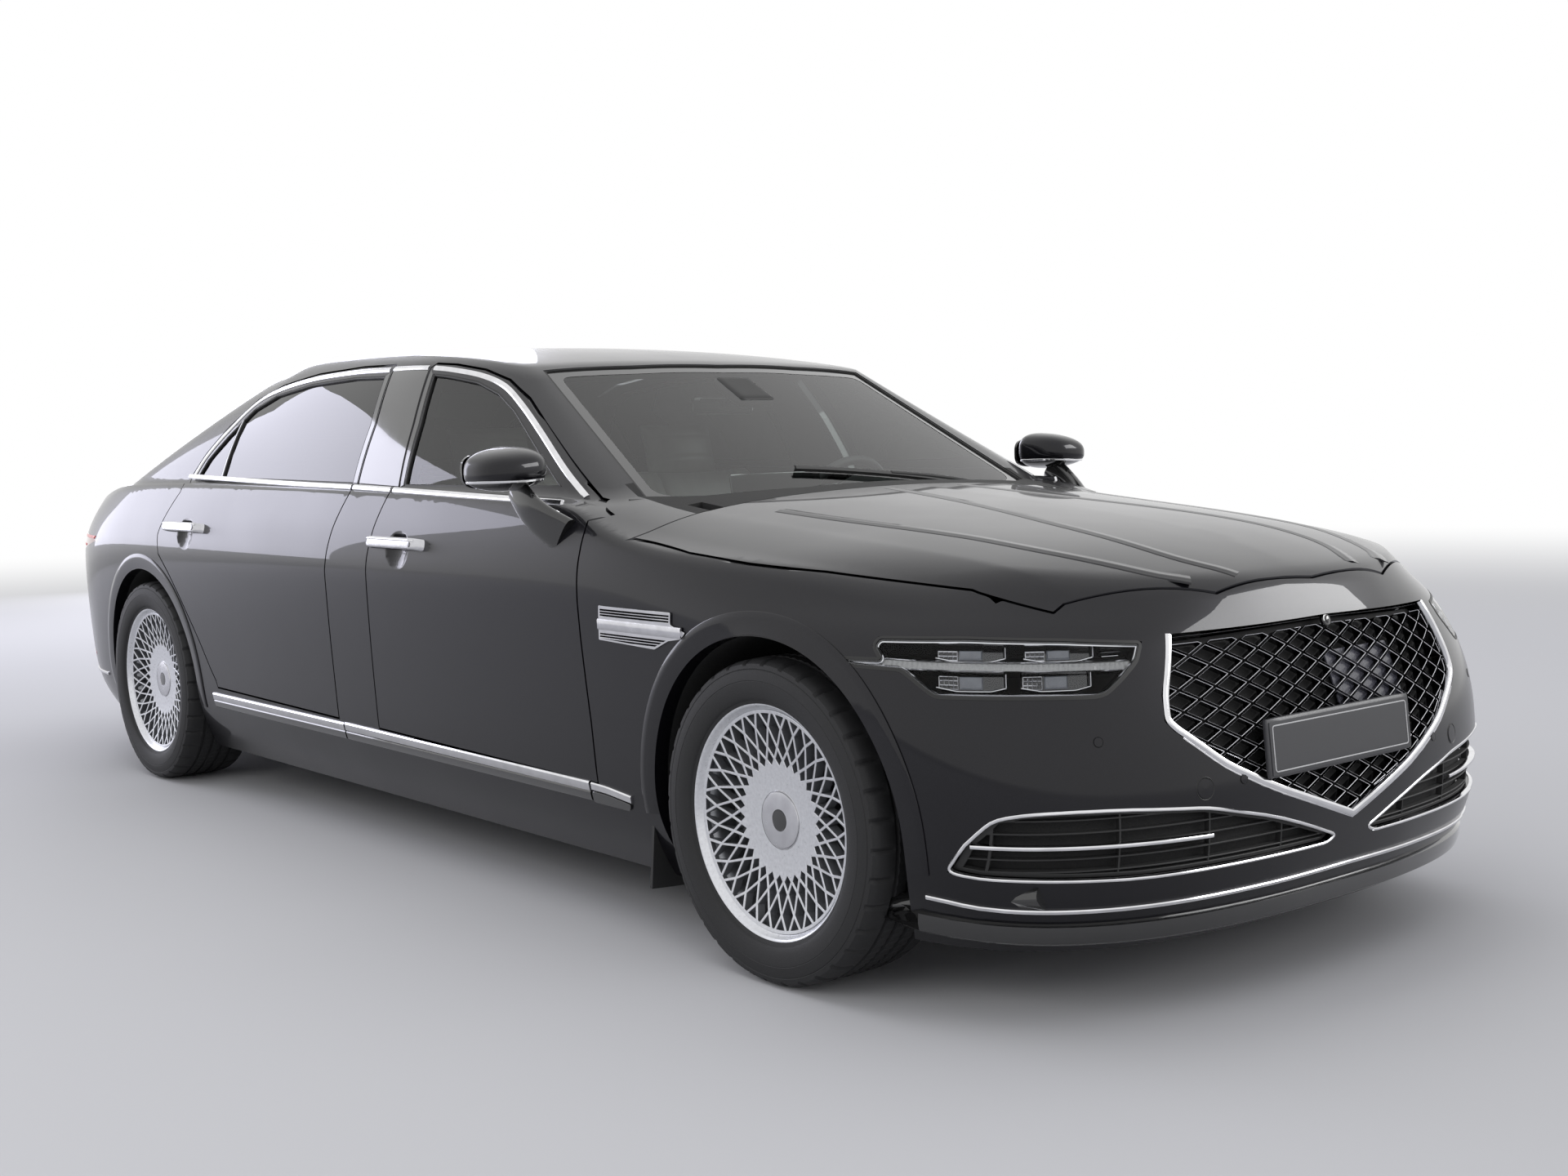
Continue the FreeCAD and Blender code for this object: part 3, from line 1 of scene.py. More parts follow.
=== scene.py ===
"""The saloon car's looks: dense paint panels, mesh wheels, grille, lamps, trim, glass and cabin."""
import math

import bmesh
import bpy
import numpy as np
from mathutils import Matrix, Vector
from mathutils.bvhtree import BVHTree
from mathutils.geometry import delaunay_2d_cdt


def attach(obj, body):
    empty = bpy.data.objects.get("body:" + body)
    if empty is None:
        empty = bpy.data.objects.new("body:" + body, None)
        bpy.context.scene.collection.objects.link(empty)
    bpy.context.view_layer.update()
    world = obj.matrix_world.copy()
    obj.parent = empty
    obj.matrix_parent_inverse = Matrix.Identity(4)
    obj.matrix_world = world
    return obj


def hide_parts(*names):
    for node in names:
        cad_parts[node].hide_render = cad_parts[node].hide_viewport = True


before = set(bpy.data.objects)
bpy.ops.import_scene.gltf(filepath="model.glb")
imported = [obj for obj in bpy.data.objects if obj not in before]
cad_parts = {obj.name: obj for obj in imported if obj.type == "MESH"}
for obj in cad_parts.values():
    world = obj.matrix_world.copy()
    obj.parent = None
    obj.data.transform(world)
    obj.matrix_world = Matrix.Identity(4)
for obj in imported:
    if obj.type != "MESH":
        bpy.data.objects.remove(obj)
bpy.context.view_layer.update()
MM = 0.001

# The body's outer surfaces, as in the CAD source.

HALF_WIDTH, NOSE, TAIL = 957.5, 2747.5, -2747.5
FRONT_AXLE, REAR_AXLE = 1927.5, -1522.5
TYRE_RADIUS, FRONT_TRACK, REAR_TRACK = 351.5, 1630.0, 1634.0
SCREEN_TOP, SCREEN_RUN = (614, 1380), 1.852
BACKLIGHT_TOP, BACKLIGHT_RUN = (-1260, 1388), 2.4
ROOF_RAIL_Y, ROOF_CROWN = 620.0, 26.0
LOWER_LEVELS = [
    (150, 118, 72, 150), (200, 85, 36, 110), (260, 54, 12, 60), (345, 34, 1, 18), (450, 27, 2, 2), (600, 15, 25, 0),
    (750, 6, 58, 18), (811, 3, 84, 28), (860, 3, 110, 40), (920, 14, 165, 55), (980, 40, 240, 78),
    (1040, 72, 330, 112), (1110, 118, 430, 200)]
NOSE_TURN = [(150, 27), (600, 27), (700, 127), (770, 277), (811, 500), (860, 660), (920, 727), (1110, 727)]
NOSE_FULL = [(150, 4.5), (450, 4.5), (600, 4.3), (700, 3.9), (770, 3.2), (811, 2.8), (860, 2.6), (920, 2.2),
             (980, 1.95), (1110, 1.9)]
TAIL_FULL = [(150, 4.0), (750, 4.0), (960, 3.0), (1110, 2.6)]
TOP_STATIONS = [
    (2800, 770, 540, 745, 700, 700), (2641, 857, 560, 812, 640, 760), (2560, 890, 575, 838, 655, 785),
    (2400, 932, 605, 886, 705, 833), (2235, 959, 625, 913, 770, 853), (2000, 985, 640, 938, 846, 885),
    (1782, 1005, 645, 957, 866, 905), (1450, 1035, 655, 990, 878, 932), (1260, 1050, 670, 1012, 880, 985),
    (1120, 1046, 700, 1042, 885, 1026), (600, 1045, 700, 1045, 885, 1040), (0, 1045, 700, 1045, 885, 1042),
    (-600, 1050, 700, 1050, 885, 1046), (-1200, 1058, 700, 1058, 880, 1052), (-1700, 1076, 700, 1068, 845, 1048),
    (-1950, 1086, 700, 1064, 820, 1040), (-2250, 1078, 695, 1035, 785, 985), (-2500, 1066, 690, 1012, 755, 945),
    (-2620, 1058, 680, 998, 740, 925), (-2800, 1040, 660, 975, 720, 900)]
CABIN_LEVELS = [
    (960, 846, 898, 888), (1040, 820, 872, 860), (1120, 780, 842, 826), (1200, 737, 805, 785), (1290, 690, 758, 731),
    (1360, 655, 716, 684), (1405, 632, 686, 648), (1440, 600, 640, 605), (1500, 530, 560, 530)]
ROOF_STATIONS = [
    (1500, 1170), (1000, 1290), (800, 1340), (614, 1384), (450, 1416), (250, 1441), (23, 1460), (-300, 1474),
    (-600, 1480), (-900, 1468), (-1260, 1402), (-1600, 1320), (-2400, 1150)]


def smooth(points, x):
    """The height at x of a smooth curve through the points, which never overshoots them."""
    if x <= points[0][0]:
        return points[0][1]
    if x >= points[-1][0]:
        return points[-1][1]
    slopes = [(b[1] - a[1]) / (b[0] - a[0]) for a, b in zip(points, points[1:])]
    bends = [slopes[0]]
    for s, t in zip(slopes, slopes[1:]):
        bends.append(0.0 if s * t <= 0 else 2 * s * t / (s + t))
    bends.append(slopes[-1])
    k = max(i for i in range(len(points) - 1) if points[i][0] <= x)
    (x0, y0), (x1, y1) = points[k], points[k + 1]
    h = x1 - x0
    t = (x - x0) / h
    return (y0 * (1 + 2 * t) * (1 - t) ** 2 + bends[k] * h * t * (1 - t) ** 2
            + y1 * t * t * (3 - 2 * t) + bends[k + 1] * h * t * t * (t - 1))


def lower_row(level):
    """The source's poles round the right half of the lower body at one height."""
    z, inset, nose_back, tail_back = level
    half, nose, tail = HALF_WIDTH - inset, NOSE - nose_back, TAIL + tail_back
    turn, full = FRONT_AXLE - smooth(NOSE_TURN, z), smooth(NOSE_FULL, z)
    tail_turn, tail_full = REAR_AXLE + 22.5, smooth(TAIL_FULL, z)
    row = []
    for i in range(13):
        a = math.pi / 2 * i / 13
        row.append([turn + (nose - turn) * math.cos(a) ** (2 / full), -half * math.sin(a) ** 0.8, z])
    row[1][0] = nose
    for i in range(6):
        row.append([turn + (tail_turn - turn) * i / 5, -half, z])
    for i in range(1, 11):
        a = math.pi / 2 * (1 - i / 10)
        x = tail if i == 10 else tail_turn + (tail - tail_turn) * math.cos(a) ** (2 / tail_full)
        row.append([x, -half * max(math.sin(a), 0.0) ** 0.8, z])
    row[-2][0] = tail
    return row


def top_row(station):
    x, centre, crest_y, crest, shoulder_y, shoulder = station
    row = [[x, -crest_y * s, centre + (crest - centre) * s ** 2.4] for s in (0.0, 0.25, 0.55, 0.8, 0.94)]
    for s in (0.0, 0.12, 0.45, 0.75, 1.0):
        row.append([x, -(crest_y + (shoulder_y - crest_y) * s), crest + (shoulder - crest) * s ** 1.35])
    slope = (crest - shoulder) / (shoulder_y - crest_y)
    reach = HALF_WIDTH + 60
    row.append([x, -reach, shoulder - 0.75 * slope * (reach - shoulder_y)])
    return row


def cabin_row(level):
    z, front_side, middle, back_side = level
    screen = SCREEN_TOP[0] + (SCREEN_TOP[1] - z) * SCREEN_RUN
    corner = 684 - 0.304 * (z - 1022)
    bow = 73 + (1361 - z) * 0.053
    rear = BACKLIGHT_TOP[0] - (BACKLIGHT_TOP[1] - z) * BACKLIGHT_RUN
    rear_corner = 640 - 0.38 * (z - 1085)
    side_x, last_x = screen - bow - 95, rear + 210
    points = [
        (screen, 0), (screen, 0.25 * corner), (screen - 0.3 * bow, 0.6 * corner), (screen - 0.8 * bow, 0.92 * corner),
        (screen - bow, corner), (screen - bow - 8, corner + 0.45 * (front_side - corner)),
        (side_x + 42, front_side - 8), (side_x - 20, front_side + 3),
        (side_x - 160, front_side + 0.45 * (middle - front_side)),
        (120, middle - 2), (-350, middle), (-800, middle - 0.3 * (middle - back_side)),
        (last_x + 120, back_side), (last_x, back_side - 20), (rear + 110, 0.5 * (rear_corner + back_side)),
        (rear + 60, rear_corner + 10), (rear + 42, 0.85 * rear_corner), (rear + 15, 0.5 * rear_corner),
        (rear, 0.2 * rear_corner), (rear, 0)]
    return [[x, -y, z] for x, y in points]


def roof_row(station):
    x, z = station
    return [[x, -ROOF_RAIL_Y * s, z - ROOF_CROWN * s ** 2.3] for s in (0.0, 0.2, 0.45, 0.7, 0.9, 1.05, 1.2, 1.6)]


def basis(n, t):
    """Values of the n clamped cubic B-spline functions at each t."""
    knots = np.concatenate([[0.0] * 3, np.arange(n - 2), [n - 3.0] * 3])
    span = np.clip(np.searchsorted(knots, t, "right") - 1, 3, n - 1)
    values = np.zeros((len(t), len(knots) - 1))
    values[np.arange(len(t)), span] = 1
    for d in (1, 2, 3):
        for i in range(len(knots) - 1 - d):
            a, b = knots[i + d] - knots[i], knots[i + d + 1] - knots[i + 1]
            left = (t - knots[i]) / a * values[:, i] if a > 0 else 0
            right = (knots[i + d + 1] - t) / b * values[:, i + 1] if b > 0 else 0
            values[:, i] = left + right
    return values[:, :n]


class Surface:
    """A dense copy of one outer surface, on both sides of the car, with its exact normals. Metres."""

    def __init__(self, rows, nu, nv, outward):
        poles = np.array(rows, float) * MM
        u, v = np.linspace(0, len(poles) - 3, nu), np.linspace(0, len(poles[0]) - 3, nv)

        def at(du, dv):
            bu = basis(len(poles), np.clip(u + du, 0, len(poles) - 3))
            bv = basis(len(poles[0]), np.clip(v + dv, 0, len(poles[0]) - 3))
            return np.einsum("ai,bj,ijk->abk", bu, bv, poles)

        e = 1e-3
        points = at(0, 0)
        normals = np.cross(at(e, 0) - at(-e, 0), at(0, e) - at(0, -e))
        normals /= np.maximum(np.linalg.norm(normals, axis=2, keepdims=True), 1e-12)
        if normals[nu // 2, nv // 2] @ np.array(outward) < 0:
            normals = -normals
        flip = np.array([1, -1, 1])
        self.points = np.concatenate([points.reshape(-1, 3), (points * flip).reshape(-1, 3)])
        self.normals = np.concatenate([normals.reshape(-1, 3), (normals * flip).reshape(-1, 3)])
        i, j = np.meshgrid(np.arange(nu - 1), np.arange(nv - 1), indexing="ij")
        a = (i * nv + j).ravel()
        tris = np.concatenate([np.stack([a, a + 1, a + nv + 1], 1), np.stack([a, a + nv + 1, a + nv], 1)])
        self.tris = np.concatenate([tris, tris + nu * nv])
        self.tree = BVHTree.FromPolygons(self.points.tolist(), self.tris.tolist())

    def near(self, p):
        """(place, normal, distance) of the surface's nearest point."""
        spot, _, k, far = self.tree.find_nearest(p)
        return spot, self._normal(spot, k), far

    def _normal(self, spot, k):
        ids = self.tris[k]
        a, b, c = (Vector(self.points[i]) for i in ids)
        ab, ac, ap = b - a, c - a, spot - a
        d00, d01, d11 = ab.dot(ab), ab.dot(ac), ac.dot(ac)
        d20, d21 = ap.dot(ab), ap.dot(ac)
        den = d00 * d11 - d01 * d01
        if abs(den) < 1e-18:
            return Vector(self.normals[ids[0]])
        v, w = (d11 * d20 - d01 * d21) / den, (d00 * d21 - d01 * d20) / den
        n = self.normals[ids[0]] * (1 - v - w) + self.normals[ids[1]] * v + self.normals[ids[2]] * w
        return Vector(n).normalized()

    def hit(self, start, way):
        spot, _, k, _ = self.tree.ray_cast(Vector(start), Vector(way))
        return (spot, self._normal(spot, k)) if spot is not None else (None, None)


LOWER = Surface([lower_row(v) for v in LOWER_LEVELS], 121, 301, (0, -1, 0))
TOP = Surface([top_row(s) for s in TOP_STATIONS], 241, 81, (0, 0, 1))
CABIN = Surface([cabin_row(v) for v in CABIN_LEVELS], 81, 241, (0, -1, 0))
ROOF = Surface([roof_row(s) for s in ROOF_STATIONS], 161, 61, (0, 0, 1))

# Materials.


def nodes_of(name):
    mat = bpy.data.materials.new(name)
    mat.use_nodes = True
    tree = mat.node_tree
    return mat, tree, tree.nodes["Principled BSDF"]


def put(node, **values):
    for key, value in values.items():
        node.inputs[key.replace("_", " ")].default_value = value


def join(tree, source, outlet, target, inlet):
    tree.links.new(source.outputs[outlet], target.inputs[inlet])


def darker(base, share):
    return tuple(c * share for c in base[:3]) + (1.0,)


def colour(r, g=None, b=None):
    return (r, g if g is not None else r, b if b is not None else r, 1.0)


def noise(tree, scale, detail=3.0, stretch=(1, 1, 1)):
    where = tree.nodes.new("ShaderNodeTexCoord")
    place = tree.nodes.new("ShaderNodeMapping")
    place.inputs["Scale"].default_value = stretch
    grain = tree.nodes.new("ShaderNodeTexNoise")
    put(grain, Scale=scale, Detail=detail)
    join(tree, where, "Object", place, "Vector")
    join(tree, place, "Vector", grain, "Vector")
    return grain.outputs["Fac"]


def vary(tree, source, low, high, into):
    """A value that runs from low to high with the source, into a socket."""
    span = tree.nodes.new("ShaderNodeMapRange")
    put(span, From_Min=0.3, From_Max=0.7, To_Min=low, To_Max=high)
    tree.links.new(source, span.inputs["Value"])
    tree.links.new(span.outputs["Result"], into)


def tint(tree, source, low, high, into, a=0.3, b=0.7):
    """A colour that runs from low to high with the source, into a socket."""
    ramp = tree.nodes.new("ShaderNodeValToRGB")
    ramp.color_ramp.elements[0].position, ramp.color_ramp.elements[0].color = a, low
    ramp.color_ramp.elements[1].position, ramp.color_ramp.elements[1].color = b, high
    tree.links.new(source, ramp.inputs["Fac"])
    tree.links.new(ramp.outputs["Color"], into)


def bumpy(tree, source, shader, strength, distance):
    bump = tree.nodes.new("ShaderNodeBump")
    put(bump, Strength=strength, Distance=distance)
    tree.links.new(source, bump.inputs["Height"])
    join(tree, bump, "Normal", shader, "Normal")


def grained(name, base, dark, rough, spread, grain, detail, stretch, bump, depth, **values):
    """A material whose colour, gloss and relief follow one fine grain."""
    mat, tree, shader = nodes_of(name)
    put(shader, **values)
    n = noise(tree, grain, detail, stretch)
    tint(tree, n, darker(base, dark), base, shader.inputs["Base Color"])
    vary(tree, n, rough - spread, rough + spread, shader.inputs["Roughness"])
    if bump:
        bumpy(tree, n, shader, bump, depth)
    return mat


def metal(name, base, rough, spread=0.05, grain=60.0, stretch=(1, 1, 1), metallic=1.0, bump=0.0):
    return grained(name, base, 0.86, rough, spread, grain, 4.0, stretch, bump, 0.0004, Metallic=metallic)


def plastic(name, base, rough, grain=900.0, bump=0.15, spread=0.08, coat=0.0, sheen=0.0, depth=0.0003):
    return grained(name, base, 0.75, rough, spread, grain, 2.0, (1, 1, 1), bump, depth, Coat_Weight=coat,
                   Sheen_Weight=sheen)


def paint_material():
    """Black metallic under a clear coat: fine flakes, whose faint blue is a painted reflection tint, and a faint
    waviness in the coat's gloss.
    """
    mat, tree, shader = nodes_of("paint")
    put(shader, Metallic=0.5, Specular_IOR_Level=0.12, Coat_Weight=0.62, Coat_Roughness=0.015, Coat_IOR=1.5)
    flake_and_reflection_tint = noise(tree, 2600.0, 1.0)
    # the fine flakes' brighter colour leans blue: a painted reflection tint, standing in for bluish reflections on
    # the paint
    tint(tree, flake_and_reflection_tint, colour(0.004, 0.004, 0.005), colour(0.018, 0.017, 0.024),
         shader.inputs["Base Color"], 0.42, 0.78)
    haze = noise(tree, 3.0, 2.0)
    vary(tree, haze, 0.30, 0.36, shader.inputs["Roughness"])
    return mat


def glass_material(name, through, ior=1.5):
    """Thin glass: tinted see-through with a clear reflection that grows at a glancing view."""
    mat, tree, shader = nodes_of(name)
    tree.nodes.remove(shader)
    clear = tree.nodes.new("ShaderNodeBsdfTransparent")
    gloss = tree.nodes.new("ShaderNodeBsdfGlossy")
    edge = tree.nodes.new("ShaderNodeFresnel")
    mix = tree.nodes.new("ShaderNodeMixShader")
    smudge = noise(tree, 1.6, 2.0)
    tint(tree, smudge, darker(through, 0.93), through, clear.inputs["Color"])
    put(gloss, Color=colour(0.95), Roughness=0.0)
    put(edge, IOR=ior)
    join(tree, edge, "Fac", mix, "Fac")
    join(tree, clear, "BSDF", mix, 1)
    join(tree, gloss, "BSDF", mix, 2)
    tree.links.new(mix.outputs["Shader"], tree.nodes["Material Output"].inputs["Surface"])
    return mat


def glow_material(name, base, strength):
    mat, tree, shader = nodes_of(name)
    put(shader, Roughness=0.25, Emission_Strength=strength, Coat_Weight=0.5)
    shader.inputs["Emission Color"].default_value = base
    n = noise(tree, 400.0, 2.0)
    tint(tree, n, darker(base, 0.8), base, shader.inputs["Base Color"])
    return mat


def leather_material(name, base, pore=260.0):
    """Leather: fine pores and soft creases, with a light sheen."""
    mat, tree, shader = nodes_of(name)
    put(shader, Sheen_Weight=0.15)
    where = tree.nodes.new("ShaderNodeTexCoord")
    cells = tree.nodes.new("ShaderNodeTexVoronoi")
    put(cells, Scale=pore)
    join(tree, where, "Object", cells, "Vector")
    n = noise(tree, 9.0, 4.0)
    tint(tree, n, darker(base, 0.84), base, shader.inputs["Base Color"])
    vary(tree, n, 0.42, 0.56, shader.inputs["Roughness"])
    bumpy(tree, cells.outputs["Distance"], shader, 0.25, 0.0006)
    return mat


PAINT = paint_material()
CHROME = metal("chrome", colour(0.82, 0.82, 0.84), 0.09, 0.02, 25.0)
SATIN = metal("satin_chrome", colour(0.66, 0.66, 0.69), 0.24, 0.04, 40.0)
MESH_METAL = metal("satin_mesh", colour(0.72, 0.72, 0.75), 0.3, 0.05, 60.0, metallic=0.5)
SHADOW_CHROME = metal("shadow_chrome", colour(0.22, 0.22, 0.23), 0.2, 0.04, 40.0)
ALLOY = metal("machined_alloy", colour(0.74, 0.75, 0.78), 0.32, 0.05, 140.0, metallic=0.8)
ALLOY_GREY = metal("alloy_lacquer", colour(0.34, 0.35, 0.37), 0.34, 0.05, 220.0, metallic=0.75)
STEEL = metal("cast_steel", colour(0.20, 0.20, 0.205), 0.5, 0.1, 90.0, bump=0.4)
DISC = metal("disc_steel", colour(0.42, 0.42, 0.43), 0.32, 0.06, 160.0)
PIPE = metal("exhaust_steel", colour(0.42, 0.41, 0.39), 0.35, 0.08, 70.0, bump=0.1)
PIANO = plastic("gloss_black", colour(0.010), 0.08, 30.0, 0.0, 0.02, coat=1.0)
BLACK = plastic("moulded_black", colour(0.022), 0.55, 1100.0, 0.25)
LINER_BLACK = plastic("liner_black", colour(0.016), 0.85, 300.0, 0.5, depth=0.001)
RUBBER = plastic("tyre_rubber", colour(0.013, 0.013, 0.014), 0.66, 500.0, 0.2, 0.08)
SEAL = plastic("seal_rubber", colour(0.012), 0.5, 700.0, 0.2)
DASH = leather_material("dash_trim", colour(0.035, 0.034, 0.034), 420.0)
LEATHER = leather_material("seat_leather", colour(0.62, 0.60, 0.55))
CARPET = plastic("carpet", colour(0.07, 0.066, 0.06), 0.95, 700.0, 0.9, 0.03, sheen=0.3, depth=0.003)
HEADLINING = plastic("headlining", colour(0.55, 0.53, 0.49), 0.95, 900.0, 0.5, 0.03, sheen=0.2, depth=0.001)
WOOD = metal("veneer", colour(0.16, 0.10, 0.06), 0.18, 0.04, 6.0, (1, 14, 14), metallic=0.0)
GLASS = glass_material("clear_glass", colour(0.80, 0.86, 0.84))
TINTED = glass_material("dark_glass", colour(0.035, 0.036, 0.045), ior=1.6)
LENS = glass_material("lamp_lens", colour(0.95, 0.96, 0.97), ior=1.22)
MIRROR = metal("mirror_glass", colour(0.80, 0.83, 0.85), 0.03, 0.01, 12.0)
LAMP_WHITE = glow_material("light_guide", colour(0.42, 0.42, 0.41), 0.06)
LAMP_RED = plastic("lamp_red", colour(0.30, 0.008, 0.010), 0.10, 60.0, 0.0, 0.03, coat=1.0)
LAMP_GLOW = glow_material("lamp_red_guide", colour(0.55, 0.02, 0.02), 0.25)
PLATE = plastic("plate_blank", colour(0.62), 0.4, 400.0, 0.05)
PLATE_DARK = plastic("plate_surround", colour(0.05, 0.05, 0.055), 0.4, 400.0, 0.1)
SENSOR = plastic("sensor_panel", colour(0.10, 0.10, 0.125), 0.25, 200.0, 0.05, coat=0.6)
CARD = leather_material("door_card", colour(0.60, 0.58, 0.53), 300.0)

# Building pieces. Lengths are millimetres.

LEAST_AREA = 30.0
SEARCH = {"side": 400, "front": 500, "back": 500, "top": 600, "lamp": 900}


def piece(name, verts, faces, mat, body, angle=40, normals=None):
    """A new mesh piece from points in millimetres, riding on a body. A face is a list of corners, or such a list
    and a material number. normals, one for each point, shade the faces that lie square to them."""
    mats = mat if isinstance(mat, (list, tuple)) else [mat]
    rows, slots = [], []
    for f in faces:
        split = isinstance(f, tuple)
        rows.append(f[0] if split else f)
        slots.append(f[1] if split else 0)
    mesh = bpy.data.meshes.new(name)
    mesh.from_pydata([[c * MM for c in v] for v in verts], [], rows)
    for m in mats:
        mesh.materials.append(m)
    mesh.polygons.foreach_set("material_index", slots)
    mesh.update()
    work = bmesh.new()
    work.from_mesh(mesh)
    bmesh.ops.recalc_face_normals(work, faces=work.faces)
    if normals:
        work.verts.ensure_lookup_table()
        facing = sum(f.normal.dot(normals[f.verts[0].index]) * f.calc_area() for f in work.faces
                     if normals[f.verts[0].index] is not None)
        if facing < 0:
            bmesh.ops.reverse_faces(work, faces=work.faces)
    work.to_mesh(mesh)
    work.free()
    if angle:
        mesh.shade_smooth()
        mesh.set_sharp_from_angle(angle=math.radians(angle))
    if normals:
        own = [None] * len(mesh.loops)
        smooth_ones = [Vector(n.vector) for n in mesh.corner_normals]
        for p in mesh.polygons:
            for k, v in zip(p.loop_indices, p.vertices):
                n = normals[v]
                own[k] = tuple(n) if n is not None and n.dot(p.normal) > 0.85 else tuple(smooth_ones[k])
        mesh.normals_split_custom_set(own)
    obj = bpy.data.objects.new(name, mesh)
    bpy.context.scene.collection.objects.link(obj)
    if body:
        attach(obj, body)
    return obj


def both(name, verts, faces, mat, body, angle=40, normals=None):
    """A piece on the right and its mirror image on the left."""
    turned = [(f[0][::-1], f[1]) if isinstance(f, tuple) else f[::-1] for f in faces]
    over = [(v[0], -v[1], v[2]) for v in verts]
    mirror = [None if n is None else Vector((n[0], -n[1], n[2])) for n in normals] if normals else None
    left = body.replace("_right", "_left")
    return (piece(name + "_right", verts, faces, mat, body, angle, normals),
            piece(name + "_left", over, turned, mat, left, angle, mirror))


def put_down(name, verts, faces, mat, body, angle=40, normals=None, twin=True):
    """A piece on both sides, or on one."""
    if twin:
        return both(name, verts, faces, mat, body, angle, normals)
    return (piece(name, verts, faces, mat, body, angle, normals),)


def loop_faces(rings, around, close=True, caps=False):
    """Quads between rings of points, and flat ends."""
    faces = []
    for i in range(rings - 1):
        for j in range(around if close else around - 1):
            a, b = i * around + j, i * around + (j + 1) % around
            faces.append([a, b, b + around, a + around])
    if caps:
        faces.append(list(range(around))[::-1])
        faces.append([(rings - 1) * around + j for j in range(around)])
    return faces


def curve_points(points, step=12.0, closed=False):
    """Points every step millimetres on a smooth line through the given ones."""
    p = [Vector(q) for q in points]
    n = len(p)
    out = []
    for i in range(n if closed else n - 1):
        a = p[(i - 1) % n] if closed or i else p[0] * 2 - p[1]
        b, c = p[i], p[(i + 1) % n]
        d = p[(i + 2) % n] if closed or i + 2 < n else p[-1] * 2 - p[-2]
        m = max(1, int((c - b).length / step))
        for k in range(m):
            t = k / m
            out.append(0.5 * ((2 * b) + (c - a) * t + (2 * a - 5 * b + 4 * c - d) * t * t
                              + (3 * b - a - 3 * c + d) * t ** 3))
    if not closed:
        out.append(p[-1])
    return out


def sweep(places, ups, section, closed=False):
    """Points and faces of a section, pairs of (across, out), that follows places; out is along the normals."""
    n, k = len(places), len(section)
    verts = []
    for i in range(n):
        a = places[i - 1] if closed or i else places[0]
        b = places[(i + 1) % n] if closed or i < n - 1 else places[-1]
        along = (b - a).normalized()
        up = (ups[i] - along * ups[i].dot(along)).normalized()
        side = up.cross(along)
        verts += [places[i] + side * across + up * out for across, out in section]
    faces = loop_faces(n, k)
    if closed:
        faces += [[(n - 1) * k + j, (n - 1) * k + (j + 1) % k, (j + 1) % k, j] for j in range(k)]
    else:
        faces += [list(range(k))[::-1], [(n - 1) * k + j for j in range(k)]]
    return verts, faces


def trim(name, line, section, mat, body, closed=False, angle=35, twin=True):
    """A moulding whose section follows a line of (places, normals)."""
    verts, faces = sweep(*line, section, closed)
    return put_down(name, verts, faces, mat, body, angle, None, twin)


def oval(across, out, count):
    """A round or oval section."""
    turns = [2 * math.pi * k / count for k in range(count)]
    return [(across * math.cos(t), out * math.sin(t)) for t in turns]


def eased(value, power):
    """A value between -1 and 1 raised to a power, with its sign kept."""
    return math.copysign(abs(value) ** power, value)


def crowned(width, height, sink=2.0):
    """A moulding's section with a softly rounded face."""
    h = width / 2
    return [(-h, -sink), (-h, height * 0.45), (-h * 0.8, height * 0.8), (-h * 0.35, height), (h * 0.35, height),
            (h * 0.8, height * 0.8), (h, height * 0.45), (h, -sink)]


def cast(kind, a, b, surface=None, lift=0.0):
    """Where a point of a view meets the outer surface, in millimetres, with the normal there. The views are side
    (x, z), front and back (y, z), top (x, y), and lamp, square to the car's front right corner (ahead, z)."""
    s = math.sqrt(0.5)
    start, way = {"side": ((a, -1300, b), (0, 1, 0)), "front": ((3200, a, b), (-1, 0, 0)),
                  "back": ((-3200, a, b), (1, 0, 0)), "top": ((a, b, 1700), (0, 0, -1)),
                  "lamp": ((s * (a + 3300), s * (a - 3300), b), (-s, s, 0))}[kind]
    surface = surface or LOWER
    spot, normal = surface.hit(Vector(start) * MM, way)
    if spot is None:
        spot, normal, _ = surface.near((Vector(start) + Vector(way) * SEARCH[kind]) * MM)
    if normal.dot(Vector(way)) > 0:
        normal = -normal
    return spot / MM + normal * lift, normal


def resample(points, step=14.0, radius=10.0, closed=False):
    """Points along straight runs with rounded corners."""
    p = [Vector(q) for q in points]
    n = len(p)
    out = []

    def corner(a, b, c):
        r = min(radius, 0.45 * (a - b).length, 0.45 * (c - b).length)
        s, e = b + (a - b).normalized() * r, b + (c - b).normalized() * r
        bend = (b - a).normalized().dot((c - b).normalized())
        m = 1 if bend > 0.995 else max(2, int(5 * (1 - bend)) + 2)
        return [s.lerp(b, t).lerp(b.lerp(e, t), t) for t in [k / m for k in range(m + 1)]] if bend < 0.9995 else [b]

    runs = [corner(p[i - 1], p[i], p[(i + 1) % n]) if closed or 0 < i < n - 1 else [p[i]] for i in range(n)]
    for i in range(n if closed else n - 1):
        here, after = runs[i], runs[(i + 1) % n]
        out += here
        gap = after[0] - here[-1]
        m = int(gap.length / step)
        out += [here[-1] + gap * (k / (m + 1)) for k in range(1, m + 1)]
    if not closed:
        out.append(p[-1])
    return out


def dense(ring, step=22.0, radius=0.2):
    """A closed ring of 2-D points with rounded corners and its long sides divided."""
    return [(q.x, q.y) for q in resample([(q[0], q[1], 0) for q in ring], step, radius, True)]


def line_on(kind, points, surface=None, lift=0.0, step=14.0, radius=10.0, closed=False, curve=False):
    """A line of a view laid on the outer surface: its places and the normals there."""
    if curve:
        row = curve_points([(a, b, 0) for a, b in points], step, closed)
    else:
        row = resample([(a, b, 0) for a, b in points], step, radius, closed)
    found = [cast(kind, q.x, q.y, surface, lift) for q in row]
    return [f[0] for f in found], [f[1] for f in found]


